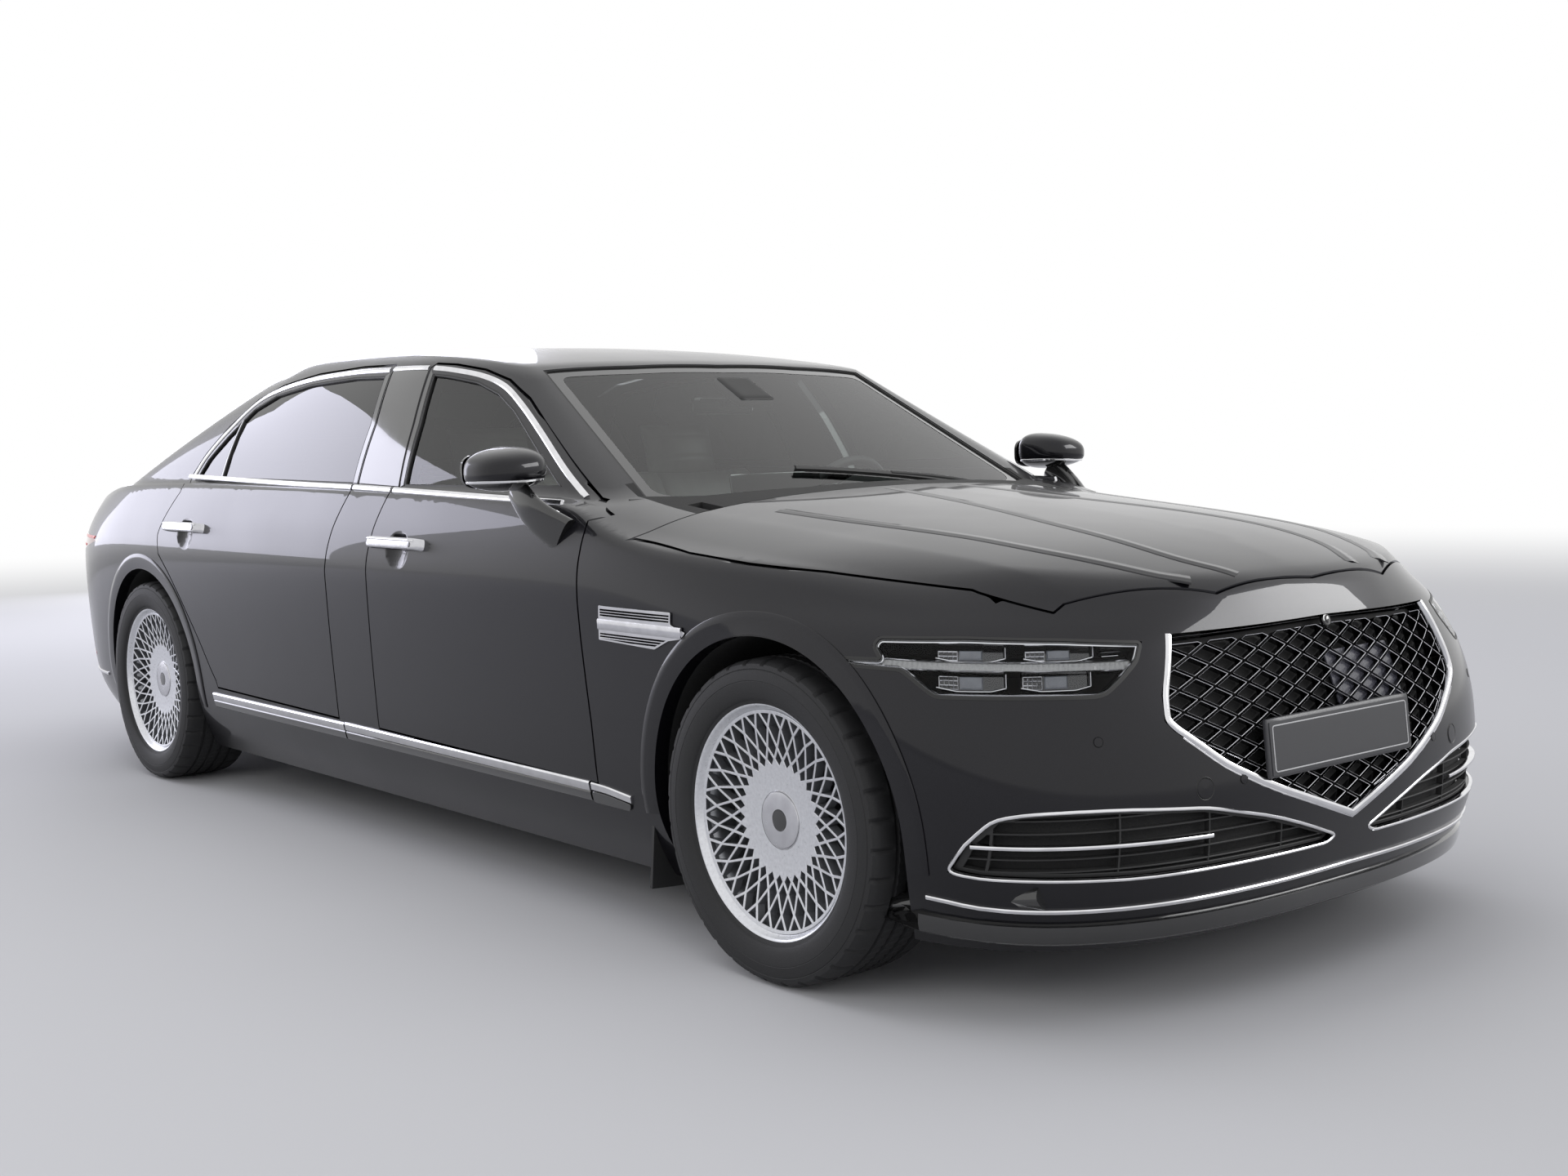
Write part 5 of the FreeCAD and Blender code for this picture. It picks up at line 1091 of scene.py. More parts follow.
def lamp_pieces():
    ring = dense(grown(LAMP, -2.5), 12.0, 9.0)
    # bowl: a rim on the surface and walls inwards
    rings = ((0.0, -1.0), (4.0, -1.5), (5.0, -12.0), (9.0, -44.0))
    verts = [cast("lamp", q.x, q.y, None, sink)[0] for shrink, sink in rings for q in grown(ring, -shrink)]
    both("lamp_bowl", verts, loop_faces(len(rings), len(ring)), PIANO, "body", 35)
    back = plate("lamp_back", grown(ring, -8.0), [], lamp_on(-43.0), [PIANO, BLACK], "body", 0.5, 2.0, 26.0)
    for obj in plate("lamp_lens", ring, [], lamp_on(-0.8), [LENS, LENS], "body", 0.3, 0.0, 24.0):
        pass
    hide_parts("headlamps")
    for name, grow, lift, section, mat in [
            ("lamp_seal", 1.0, 0.2, [(-3.4, -6), (-3.4, 0.5), (3.4, 0.5), (3.4, -6)], SEAL),
            ("lamp_rim", -5.5, -2.6, [(-2, -5), (-2, 0), (0, 1.2), (2, 0), (2, -5)], CHROME)]:
        edge = [cast("lamp", q.x, q.y, None, lift) for q in grown(ring, grow)]
        trim(name, ([e[0] for e in edge], [e[1] for e in edge]), section, mat, "body", True)
    # the running light: a ribbed clear guide between two bright lines, from the rear tip to the inner corner
    strip = [(898, 722), (1040, 720), (1180, 718), (1340, 715), (1458, 713)]
    bed = line_on("lamp", strip, None, -6.0, 14.0, curve=True)
    trim("lamp_guide_bed", bed, [(-11, -26), (-11, -1), (-9.6, 0.6), (-8, -1), (-8, -8), (8, -8), (8, -1), (9.6, 0.6),
                                 (11, -1), (11, -26)], CHROME, "body")
    guide = line_on("lamp", strip, None, -9.0, 5.0, curve=True)
    ribs = ([p - n * (1.6 * (k % 2)) for k, (p, n) in enumerate(zip(*guide))], guide[1])
    trim("lamp_guide", ribs, [(-7.6, -6), (-7.4, 0), (0, 1.4), (7.4, 0), (7.6, -6)], LAMP_WHITE, "body", angle=20)
    # four projector units, each with its housing, lens, faceted reflector and bright lip
    for k, (a, b) in enumerate([(1140, 743), (1312, 741), (1140, 691), (1306, 690)]):
        tall = 13 if k < 2 else 16
        housing = [(a - 64, b - tall + 4), (a - 26, b - tall), (a + 40, b - tall), (a + 68, b - tall + 5),
                   (a + 68, b + tall - 2), (a - 64, b + tall - 2)]
        patch("lamp_unit_%d" % k, housing, "lamp", PIANO, "body", None, -20.0, 20.0, 24.0, 10.0, 3.0)
        plate("lamp_eye_%d" % k, [(a - 20, b - tall + 3), (a + 26, b - tall + 3), (a + 26, b + tall - 5),
                                  (a - 20, b + tall - 5)], [], lamp_on(-11.0), [PROJECTOR, CHROME], "body", 2.4, 12.0)
        cells = [[(a - 60 + 9.4 * i, b - tall + 5 + 8.4 * j), (a - 53 + 9.4 * i, b - tall + 5 + 8.4 * j),
                  (a - 53 + 9.4 * i, b - tall + 11 + 8.4 * j), (a - 60 + 9.4 * i, b - tall + 11 + 8.4 * j)]
                 for i in range(4) for j in range(2 if k < 2 else 3)]
        mirror = [(a - 63, b - tall + 3), (a - 23, b - tall + 3), (a - 23, b + tall - 4), (a - 63, b + tall - 4)]
        plate("lamp_facets_%d" % k, mirror, cells, lamp_on(-15.0), [CHROME, CHROME], "body", 1.2, 7.0)
        lip = line_on("lamp", [(a - 66, b - tall + 5), (a - 26, b - tall - 2), (a + 42, b - tall - 2),
                               (a + 70, b - tall + 4)], None, -12.0, 8.0, 4.0)
        trim("lamp_lip_%d" % k, lip, crowned(3.4, 3.0, 5.0), CHROME, "body")
        post = line_on("lamp", [(a + 71, b - tall + 4), (a + 71, b + tall - 2)], None, -12.0, 8.0)
        trim("lamp_post_%d" % k, post, crowned(3.0, 3.0, 5.0), SATIN, "body")
    for k, z in enumerate((752, 744, 736)):
        dash = line_on("lamp", [(1404, z), (1446 - 4 * k, z)], None, -22.0, 8.0)
        trim("lamp_dash_%d" % k, dash, crowned(2.0, 1.6, 3.0), CHROME, "body")


PROJECTOR = plastic("projector_lens", colour(0.16, 0.17, 0.19), 0.06, 40.0, 0.0, 0.02, coat=1.0)
lamp_pieces()

# Glass, window frames and pillar panels

FRONT_WINDOW = [(1010, 1054), (639, 1254), (522, 1305), (400, 1340), (250, 1362), (168, 1370), (226, 1224),
                (268, 1052)]
REAR_WINDOW = [(-34, 1056), (-54, 1228), (-108, 1374), (-300, 1378), (-600, 1368), (-850, 1341), (-985, 1298),
               (-1100, 1205), (-1180, 1130), (-1212, 1072)]
SCREEN = [(1320, 0), (1318, -300), (1262, -560), (1186, -680), (574, -577), (602, -300), (613, 0)]
BACKLIGHT = [(-1956, 0), (-1948, -300), (-1885, -636), (-1218, -556), (-1252, -300), (-1263, 0)]
GLASS_LIFT = -7.0


def glass_pieces():
    for name, ring, mat, body, node in [
            ("front_door_pane", FRONT_WINDOW, GLASS, "front_door_right", "front_door_glass"),
            ("rear_door_pane", REAR_WINDOW, TINTED, "rear_door_right", "rear_door_glass")]:
        stands_for(patch(name, ring, "side", mat, body, CABIN, GLASS_LIFT, 0.0, 60.0, 24.0, 6.0), node)
        line = line_on("side", grown(ring, -1.0), CABIN, -2.0, 14.0, 8.0, True)
        trim(name + "_seal", line, [(-4, -7), (-4, 1), (3, 1.6), (5, 0), (5, -7)], SEAL, body, True)
    for name, ring, mat, node, border in [("windscreen_pane", SCREEN, GLASS, "windscreen", 34.0),
                                          ("rear_window_pane", BACKLIGHT, TINTED, "rear_window", 26.0)]:
        full = ring + [(a, -b) for a, b in ring[-2:0:-1]]
        pane = patch(name, full, "top", mat, "body", CABIN, GLASS_LIFT, 0.0, 90.0, 30.0, 10.0, twin=False)
        stands_for(pane, node)
        outer, hole = dense(grown(full, -1.0), 24.0, 12.0), dense(grown(full, -border), 24.0, 30.0)
        plate(name + "_border", outer, [hole], lambda a, b: cast("top", a, b, CABIN, -6.4), [PIANO, PIANO], "body",
              0.3, 0.0, 0.0, twin=False)
        line = line_on("top", grown(full, 1.0), CABIN, -3.0, 20.0, 10.0, True)
        trim(name + "_seal", line, [(-3.4, -5), (-3.4, 0.6), (3.4, 1.0), (3.4, -5)], SEAL, "body", True, twin=False)
    for name, ring, body in [
            ("pillar_front", [(264, 1054), (222, 1224), (165, 1369), (143, 1383), (201, 1224), (249, 1048)],
             "front_door_right"),
            ("pillar_middle", [(238, 1050), (190, 1224), (131, 1381), (-75, 1388), (-16, 1228), (4, 1058)], "body"),
            ("pillar_rear", [(-8, 1058), (-29, 1228), (-86, 1385), (-106, 1373), (-52, 1228), (-33, 1059)],
             "rear_door_right")]:
        patch(name, ring, "side", PIANO, body, CABIN, 1.2, 3.0, 40.0, 20.0, 2.0)
    bar = line_on("side", [(-1035, 1262), (-1004, 1066)], CABIN, -3.0, 20.0)
    trim("quarter_bar", bar, crowned(17.0, 3.0, 6.0), PIANO, "rear_door_right")
    upper = {"front_door_right": [(1112, 1028), (975, 1098), (800, 1191), (647, 1269), (527, 1322), (400, 1355),
                                  (250, 1377), (158, 1386)],
             "body": [(128, 1388), (30, 1391), (-74, 1393)],
             "rear_door_right": [(-96, 1391), (-300, 1393), (-600, 1383), (-850, 1356), (-998, 1313), (-1115, 1222),
                                 (-1198, 1141), (-1236, 1080)]}
    for k, (body, line) in enumerate(upper.items()):
        trim("window_trim_%d" % k, line_on("side", line, CABIN, 0.4, 16.0, curve=True),
             [(-8, -2), (-8, 2.0), (-6, 3.6), (0, 4.4), (5, 3.4), (8, 1.2), (8, -2)], CHROME, body)
    belt = curve_points([(-1272, -861, 1076), (-465, -874, 1056), (38, -880, 1047), (503, -887, 1035),
                         (1313, -895, 1013)], 16.0)
    for k, (body, low, high) in enumerate([("front_door_right", 254, 1128), ("body", 5, 238),
                                           ("rear_door_right", -1252, -9)]):
        line = [p for p in belt if low < p.x < high]
        line = [Vector((low, *cut_at(belt, low))), *line, Vector((high, *cut_at(belt, high)))]
        ups = [Vector((0, -1, 0.42)).normalized()] * len(line)
        trim("belt_trim_%d" % k, (line, ups), [(-8.5, -5), (-8.5, 1.5), (-6, 3.8), (4, 4.4), (8, 2.0), (8.5, -5)],
             CHROME, body)


def cut_at(line, x):
    """The (y, z) of a line of points at x."""
    for a, b in zip(line, line[1:]):
        if min(a.x, b.x) <= x <= max(a.x, b.x):
            t = (x - a.x) / (b.x - a.x)
            return a.y + (b.y - a.y) * t, a.z + (b.z - a.z) * t
    return line[-1].y, line[-1].z


glass_pieces()

# Mirrors

MIRROR_AT = Vector((1003.0, -986.0, 1098.0))
# the share of the housing's height, from below, that is gloss black
MIRROR_SPLIT = 0.36


def mirror_skin(a, e):
    """A point of the mirror's housing by its angles round and up."""
    q = 0.72
    around = abs(math.cos(e)) ** q
    x, y, z = around * eased(math.cos(a), q), around * eased(math.sin(a), q), eased(math.sin(e), q)
    wide, deep, high = 91, (122 if x > 0 else 62), (60 if z > 0 else 50)
    thin = 1 - 0.22 * max(0.0, -y) * (1 if z < 0 else 0.6) - 0.12 * max(0.0, x)
    return MIRROR_AT + Vector((x * deep, y * wide, z * high * thin + 5 * y))


def mirror_pieces():
    around, up = 64, 40
    verts = [mirror_skin(2 * math.pi * i / around, -math.pi / 2 + math.pi * j / up)
             for j in range(up + 1) for i in range(around)]
    faces = [(f, int((k // around + 0.5) / up < MIRROR_SPLIT)) for k, f in enumerate(loop_faces(up + 1, around))]
    shell = both("mirror_housing", verts, faces, [PAINT, PIANO], "front_door_right", 60)
    stands_for(shell, "mirror")
    line = [mirror_skin(2 * math.pi * i / 72, -math.pi / 2 + math.pi * MIRROR_SPLIT) for i in range(72)]
    ups = [Vector((p.x - MIRROR_AT.x, p.y - MIRROR_AT.y, -8)).normalized() for p in line]
    trim("mirror_strip", (line, ups), [(-3.5, -3), (-3.5, 1.2), (-2, 2.4), (2, 2.4), (3.5, 1.2), (3.5, -3)], CHROME,
         "front_door_right", True)
    # the glass, in a dark frame at the back of the housing
    ring = [(80 * eased(math.sin(t), 0.6), 44 * eased(math.cos(t), 0.6)) for t in
            [2 * math.pi * k / 60 for k in range(60)]]
    plate("mirror_rear_frame", ring, [], lambda a, b: (MIRROR_AT + Vector((-60, a, b)), Vector((-1, 0, 0))),
          [PIANO, PIANO], "front_door_right", 1.5, 10.0)
    plate("mirror_pane", [(a * 0.93, b * 0.9) for a, b in ring], [],
          lambda a, b: (MIRROR_AT + Vector((-62, a, b)), Vector((-1, 0, 0))), [MIRROR, PIANO], "front_door_right",
          0.6, 2.0)
    # the arm: a tapering blade from under the housing down to the door's shoulder
    foot, head, out = Vector((1190, -925, 940)), Vector((1040, -968, 1058)), Vector((0, -1, 0))
    along = (head - foot).normalized().cross(out).normalized()
    rings = []
    for k in range(15):
        t = k / 14
        mid = foot.lerp(head, t) + Vector((0, -16 * math.sin(math.pi * t), -6 * math.sin(math.pi * t)))
        long, thick = 52 - 16 * t, 17 - 4 * t
        rings.append([mid + along * (long * eased(math.cos(u), 0.7)) + out * (thick * eased(math.sin(u), 0.7))
                      for u in [2 * math.pi * m / 24 for m in range(24)]])
    both("mirror_arm", [p for r in rings for p in r], loop_faces(15, 24, True, True), PIANO, "front_door_right", 40)
    edge = [r[12] * 0.5 + r[13] * 0.5 for r in rings]
    trim("mirror_arm_edge", (edge, [Vector((0, -0.8, -0.4)).normalized()] * 15), crowned(7.0, 3.0, 3.0), SATIN,
         "front_door_right")


mirror_pieces()

# Handles, vents, strips and small trim


# A handle's bar: how far its middle rises from where its ends are sunk in the door, and how deep they are.
HANDLE_RISE, HANDLE_SINK = 30.5, 6.5


def handle_pieces():
    for name, (x0, x1, z), body in [("front", (238, 528, 898), "front_door_right"),
                                    ("rear", (-1256, -954, 906), "rear_door_right")]:
        places, ups = [], []
        for k in range(41):
            t = k / 40
            rise = min(1.0, min(t, 1 - t) * 11)
            p, up = cast("side", x0 + (x1 - x0) * t, z, LOWER,
                         HANDLE_RISE * math.sin(rise * math.pi / 2) ** 0.8 - HANDLE_SINK)
            places.append(p)
            ups.append(up)
        bar = trim(name + "_handle_bar", (places, ups),
                   [(-15.5, -5), (-15.8, 1), (-13, 5.2), (-6, 7.4), (4, 7.0), (11, 4.6), (15.2, 0.6), (15.5, -4),
                    (11, -6.4), (-11, -6.4)], [SATIN], body)
        stands_for(bar, name + "_door_handle")
        line = ([p + Vector((0, -5.4, 9.5)) for p in places[2:-2]], ups[2:-2])
        trim(name + "_handle_line", line, crowned(5.0, 2.4, 3.0), CHROME, body)
        part = facing(lathe([(0.1, 3.0), (6.0, 2.6), (7.4, 1.2), (7.6, -4.0)], 28),
                      *cast("side", x1 - 26, z - 3, LOWER, 29.0))
        both(name + "_handle_button", *part, SHADOW_CHROME, body, 30)


VENT = [(1366, 786), (1645, 785), (1643, 758), (1696, 743), (1679, 728), (1633, 721), (1578, 698), (1359, 705)]


VENT_SLOT, VENT_PITCH = 3.6, 6.3
ARCH_LIP = 427.0


def vent_pieces():
    upper = [(1371, 781), (1640, 780), (1638, 761), (1370, 760)]
    lower = [(1367, 724), (1630, 724), (1576, 703), (1364, 709)]
    holes = []
    for border, first, last in ((upper, 762.0, 780.0), (lower, 705.5, 723.0)):
        z = first
        while z < last - 2:
            cell = clipped([(1340, z), (1720, z), (1720, z + VENT_SLOT), (1340, z + VENT_SLOT)], border)
            if cell:
                holes.append(cell)
            z += VENT_PITCH
    face = plate("vent_face", dense(VENT, 30.0, 4.0), holes, lambda a, b: cast("side", a, b, LOWER, 4.4),
                 [CHROME, SHADOW_CHROME], "body", 0.5, 9.0, 30.0, skirt=6.0)
    stands_for(face[:1], "side_vents")
    patch("vent_back", grown(VENT, -2.0), "side", LINER_BLACK, "body", LOWER, -9.0, 1.0, 40.0)
    bar = line_on("side", [(1362, 743), (1684, 742)], LOWER, 5.0, 20.0)
    trim("vent_bar", bar, [(-13, -2), (-13, 1), (-10, 3), (9, 3), (12, 1), (12, -2)], SATIN, "body")


def across(line):
    """A line on the right that ends in the middle, carried on to the left side."""
    return tuple(row + [Vector((q.x, -q.y, q.z)) for q in row[-2::-1]] for row in line)


def strip_pieces():
    for k, (x0, x1) in enumerate([(-985, -30), (-22, 1258)]):
        front = x0 > -100
        for name, z, fall, lift, section, mat in [
                ("sill_strip_%d", 346 + 2 * front, 6, 1.0,
                 [(-13, -4), (-13, 2.2), (-10, 4.5), (8, 5.5), (12, 2.5), (13, -4)], CHROME),
                ("sill_lower_%d", 322, 4, 0.5, [(-12, -4), (-12, 2.5), (-9, 4), (9, 5), (12, 3), (12, -4)], PIANO)]:
            points = [(x0 + (x1 - x0) * t / 12, z - fall * t / 12 * front) for t in range(13)]
            trim(name % k, line_on("side", points, LOWER, lift, 24.0), section, mat, "body")
    line = line_on("side", [(1266, 343), (1330, 341), (1428, 331)], LOWER, 1.0, 16.0)
    trim("sill_strip_end", line, [(-10, -4), (-10, 2.2), (-8, 4.0), (7, 5.0), (10, 2.5), (10, -4)], CHROME, "body")
    patch("sill_end", [(1264, 330), (1330, 329), (1424, 319), (1415, 302), (1266, 303)], "side", PIANO, "body", LOWER,
          5.0, 8.0, 30.0)
    lip = line_on("front", [(-872, 262), (-800, 247), (-600, 243), (-300, 244), (0, 246)], None, 1.5, 16.0,
                  curve=True)
    trim("lip_chrome", across(lip), [(-5, -5), (-5, 2.0), (-3, 4.0), (3, 4.0), (5, 2.0), (5, -5)], CHROME, "body",
         twin=False)
    low = line_on("front", [(-890, 215), (-800, 200), (-600, 194), (-300, 192), (0, 192)], None, 6.0, 20.0,
                  curve=True)
    trim("lip_blade", across(low), [(-24, -10), (-24, 2), (-18, 12), (-10, 16), (6, 12), (22, 2), (24, -10)], PIANO,
         "body", twin=False)
    for name, x, over in [("front", FRONT_AXLE, 0.1), ("rear", REAR_AXLE, 0.12)]:
        turns = [-over + (math.pi + over + over) * k / 60 for k in range(61)]
        points = [(x + ARCH_LIP * math.cos(t), TYRE_RADIUS + ARCH_LIP * math.sin(t)) for t in turns]
        trim(name + "_arch_lip", line_on("side", points, LOWER, 0.0, 40.0),
             [(-26, -14), (-26, 1.6), (-24, 3.0), (-8, 2.8), (14, 1.2), (25, 0.1), (25, -3)], PAINT, "body", angle=50)
    for name, y, z, r in [("parking_sensor", -665, 572, 11), ("inner_sensor", -345, 470, 11),
                          ("tow_cover", -448, 463, 24)]:
        part = facing(lathe([(0.1, 1.2), (r * 0.8, 1.0), (r * 0.86, -0.6), (r * 0.94, 0.8), (r, -1.0)], 40,
                            [0, 0, 1, 1]), *cast("front", y, z))
        both(name, *part, [PAINT, SEAL], "body", 30)
    flap = [Vector((1498, -905, 320)), Vector((1500, -780, 320)), Vector((1482, -780, 118)),
            Vector((1478, -905, 126))]
    verts = flap + [p + Vector((-9, 0, 0)) for p in flap]
    flap_faces = [[0, 1, 2, 3], [7, 6, 5, 4], [0, 4, 5, 1], [1, 5, 6, 2], [2, 6, 7, 3], [3, 7, 4, 0]]
    both("mud_flap", verts, flap_faces, BLACK, "body", 30)


handle_pieces()
vent_pieces()
strip_pieces()

# Tail end

panel("tail_lamps", LAMP_RED, "body", LOW)


def tail_pieces():
    for name, kind, points, wide in [
            ("tail_guide_side", "side", [(-2010, 850), (-2200, 850), (-2420, 846)], 7.0),
            ("tail_guide", "back", [(-930, 846), (-860, 848), (-760, 850), (-652, 850)], 9.0),
            ("tail_guide_low", "back", [(-905, 815), (-760, 818), (-652, 818)], 9.0)]:
        trim(name, line_on(kind, points, LOWER, -1.0, 12.0, curve=True), crowned(wide, 3.0, 3.0), LAMP_GLOW, "body")
    bar = line_on("back", [(-630, 832), (-300, 836), (0, 837), (300, 836), (630, 832)], LOWER, 1.0, 16.0, curve=True)
    trim("boot_bar", bar, [(-9, -4), (-9, 3), (-5, 6), (5, 6), (9, 3), (9, -4)], CHROME, "boot_lid", twin=False)
    patch("rear_plate_bed", [(-265, 770), (265, 770), (258, 655), (-258, 655)], "back", PLATE_DARK, "boot_lid", LOWER,
          2.0, 5.0, 60.0, 30.0, 10.0, twin=False)
    patch("rear_plate", [(-252, 762), (252, 762), (252, 664), (-252, 664)], "back", PLATE, "boot_lid", LOWER, 5.0,
          3.0, 60.0, 30.0, 4.0, twin=False)
    strip = line_on("back", [(-900, 330), (-600, 318), (0, 316)], LOWER, 1.0, 20.0, curve=True)
    trim("rear_lower_chrome", across(strip), crowned(12.0, 4.0, 4.0), CHROME, "body", twin=False)
    ring = [(-700, 232), (-460, 232), (-446, 292), (-706, 296)]
    plate("exhaust_trim_0", dense(ring, 20.0, 18.0), [dense(grown(ring, -9.0), 20.0, 14.0)],
          lambda a, b: cast("back", a, b, LOWER, 5.0), [CHROME, SHADOW_CHROME], "body", 1.5, 22.0)
    patch("exhaust_dark_0", grown(ring, -6.0), "back", LINER_BLACK, "body", LOWER, 1.5, 1.0, 60.0)
    patch("rear_reflector", [(-880, 402), (-640, 398), (-640, 378), (-880, 384)], "back", LAMP_RED, "body", LOWER,
          1.5, 3.0, 40.0)
    patch("rear_valance", [(-560, 290), (0, 296), (560, 290), (520, 190), (0, 182), (-520, 190)], "back", BLACK,
          "body", LOWER, 1.0, 3.0, 60.0, twin=False)


tail_pieces()


def screen_base():
    """The dark cowl cover and the two wipers lying at the windscreen's foot."""
    ring = [(1410, -560), (1448, -300), (1460, 0), (1448, 300), (1410, 560), (1290, 560), (1342, 300), (1350, 0),
            (1342, -300), (1290, -560)]
    patch("cowl_cover", ring, "top", BLACK, "body", TOP, -4.0, 3.0, 50.0, twin=False)
    for k, (pivot, tip, blade) in enumerate([((1345, 560), (1215, 120), 620), ((1372, -20), (1262, -470), 560)]):
        p, _ = cast("top", pivot[0], pivot[1], CABIN, 6.0)
        q, up = cast("top", tip[0], tip[1], CABIN, 8.0)
        arm = [p.lerp(q, t / 10) + Vector((0, 0, 10 * math.sin(math.pi * t / 10))) for t in range(11)]
        trim("wiper_arm_%d" % k, (arm, [up] * 11), crowned(12.0, 5.0, 3.0), BLACK, "body", twin=False)
        half = (q - p).normalized() * (blade / 2)
        ends = [(tip[0] - half.x, tip[1] - half.y), tip, (tip[0] + half.x, tip[1] + half.y)]
        trim("wiper_blade_%d" % k, line_on("top", ends, CABIN, 2.0, 30.0),
             [(-8, 6), (-3, 9), (3, 9), (8, 5), (2, 3), (1.2, -7), (-1.2, -7), (-2, 3)], BLACK, "body", twin=False)


screen_base()


def bonnet_creases():
    """The soft pressed ridges that run down the bonnet to its front edge."""
    ridge = [(-22, -2.0), (-21, -0.05), (-12, 0.5), (-5, 1.9), (0, 2.7), (5, 1.9), (12, 0.5), (21, -0.05),
             (22, -2.0)]
    for k, line in enumerate([[(1480, -128), (1784, -172), (2182, -262), (2462, -272), (2606, -208)],
                              [(1560, -560), (1800, -540), (2105, -505), (2329, -478), (2519, -402), (2590, -340)]]):
        trim("bonnet_crease_%d" % k, line_on("top", line, TOP, 0.0, 20.0, curve=True), ridge, PAINT, "bonnet",
             angle=70)


bonnet_creases()

# Seats


def pad_mesh(size, bolster=0.0, groove_u=0.62, channels=(), crown=0.12, pinch=0.035, flat=0.55, count=56, sharp=7.0):
    """A stuffed pad: x across, y along, z up. Its face is crowned, its sides pull in between the corners, side
    rolls rise by bolster, and sewn grooves run along at groove_u and across at each channel (place, depth)."""
    half_u, half_v, half_w = size
    steps = [math.sin(math.pi / 2 * (2 * k / count - 1)) for k in range(count + 1)]
    verts, index = [], {}
    for side in (1, -1):
        for i, u in enumerate(steps):
            for j, v in enumerate(steps):
                rim = i in (0, count) or j in (0, count)
                if side < 0 and rim:
                    index[side, i, j] = index[1, i, j]
                    continue
                full = (max(0.0, 1 - abs(u) ** sharp) * max(0.0, 1 - abs(v) ** sharp)) ** (1 / 2.4)
                x = u * half_u * (1 - pinch * (1 - v * v))
                y = v * half_v * (1 - pinch * (1 - u * u))
                z = half_w * full * (1 if side > 0 else flat)
                if side > 0:
                    z *= 1 + crown * (1 - u * u) * (1 - v * v)
                    if bolster:
                        roll = max(0.0, (abs(u) - groove_u) / (1 - groove_u))
                        z += bolster * math.sin(math.pi * min(1.0, roll * 1.15) * 0.87) * full
                        z -= 11.0 * math.exp(-(((abs(u) - groove_u) * half_u) / 6.5) ** 2) * full
                    inner = 1.0 if not bolster else max(0.0, min(1.0, (groove_u - abs(u)) * 18))
                    for place, deep in channels:
                        z -= deep * math.exp(-(((v - place) * half_v) / 5.5) ** 2) * full * inner
                index[side, i, j] = len(verts)
                verts.append(Vector((x, y, side * z)))
    faces = []
    for side in (1, -1):
        for i in range(count):
            for j in range(count):
                faces.append([index[side, i + a, j + b] for a, b in ((0, 0), (1, 0), (1, 1), (0, 1))])
    return verts, faces


def placed(centre, along, up):
    """A matrix that puts x across, y along and z up at a place, in millimetres."""
    v, w = Vector(along).normalized(), Vector(up)
    u = v.cross(w).normalized()
    w = u.cross(v)
    turn = Matrix((u, v, w)).transposed().to_4x4()
    return Matrix.Translation(Vector(centre)) @ turn


def pad(name, size, centre, along, up, mat, fill=0.75, twin=True, **shape):
    """One padded piece with its piping."""
    place = placed(centre, along, up)
    verts, faces = moved(pad_mesh(size, **shape), place)
    objs = put_down(name, verts, faces, mat, "body", 60, None, twin)
    pinch = shape.get("pinch", 0.035)
    ring = []
    for k in range(96):
        a = 2 * math.pi * k / 96
        u, v = eased(math.cos(a), 0.28), eased(math.sin(a), 0.28)
        x, y = u * size[0] * (1 - pinch * (1 - v * v)), v * size[1] * (1 - pinch * (1 - u * u))
        ring.append(place @ Vector((x, y, 0)))
    ups = [(p - place.translation).normalized() for p in ring]
    trim(name + "_piping", (ring, ups), oval(2.6, 2.6, 8), mat, "body", True, 60, twin)
    return objs


ALONG, UP = (1, 0, 0.10), (-0.10, 0, 1)
CUSHION = ((-0.5, 7), (-0.2, 7), (0.1, 7), (0.4, 7), (0.68, 9))
BACK = ((-0.55, 7), (-0.28, 7), (0.0, 7), (0.28, 7), (0.58, 10))
HEAD = {"crown": 0.25, "sharp": 4.0, "channels": ((-0.45, 4), (0.45, 4)), "pinch": 0.06, "flat": 0.8}


def front_seats():
    y = -375.0
    lean, ahead = Vector((-0.27, 0, 1.0)).normalized(), Vector((1, 0, 0.27)).normalized()
    cushion = pad("front_cushion", (250, 268, 72), (292, y, 478), ALONG, UP, LEATHER, bolster=34, channels=CUSHION)
    pad("front_back", (248, 300, 66), (20, y, 770), lean, ahead, LEATHER, bolster=40, channels=BACK)
    pad("front_head", (138, 88, 48), (-88, y + 12, 1128), lean, ahead, LEATHER, 0.85, **HEAD)
    stands_for(cushion, "front_seats")
    for k, side in enumerate((-52, 52)):
        ends = [Vector((-52, y + 12 + side, 1000)), Vector((-76, y + 12 + side, 1100))]
        both("front_head_post_%d" % k, *sweep(ends, [Vector((0, 1, 0))] * 2, oval(6, 6, 16)), CHROME, "body", 40)
    shell = moved(pad_mesh((236, 288, 34), crown=0.5, flat=0.4, sharp=5.0), placed((-30, y, 762), lean, -ahead))
    both("front_back_shell", *shell, CARD, "body", 60)
    box("front_seat_base", (500, 452, 120), 26, 5, (290, y, 385), DASH, 40, twin=True)
    for k, x in enumerate((110, 470)):
        box("front_seat_rail_%d" % k, (60, 440, 104), 8, 3, (x, y, 276), BLACK, 40, twin=True)


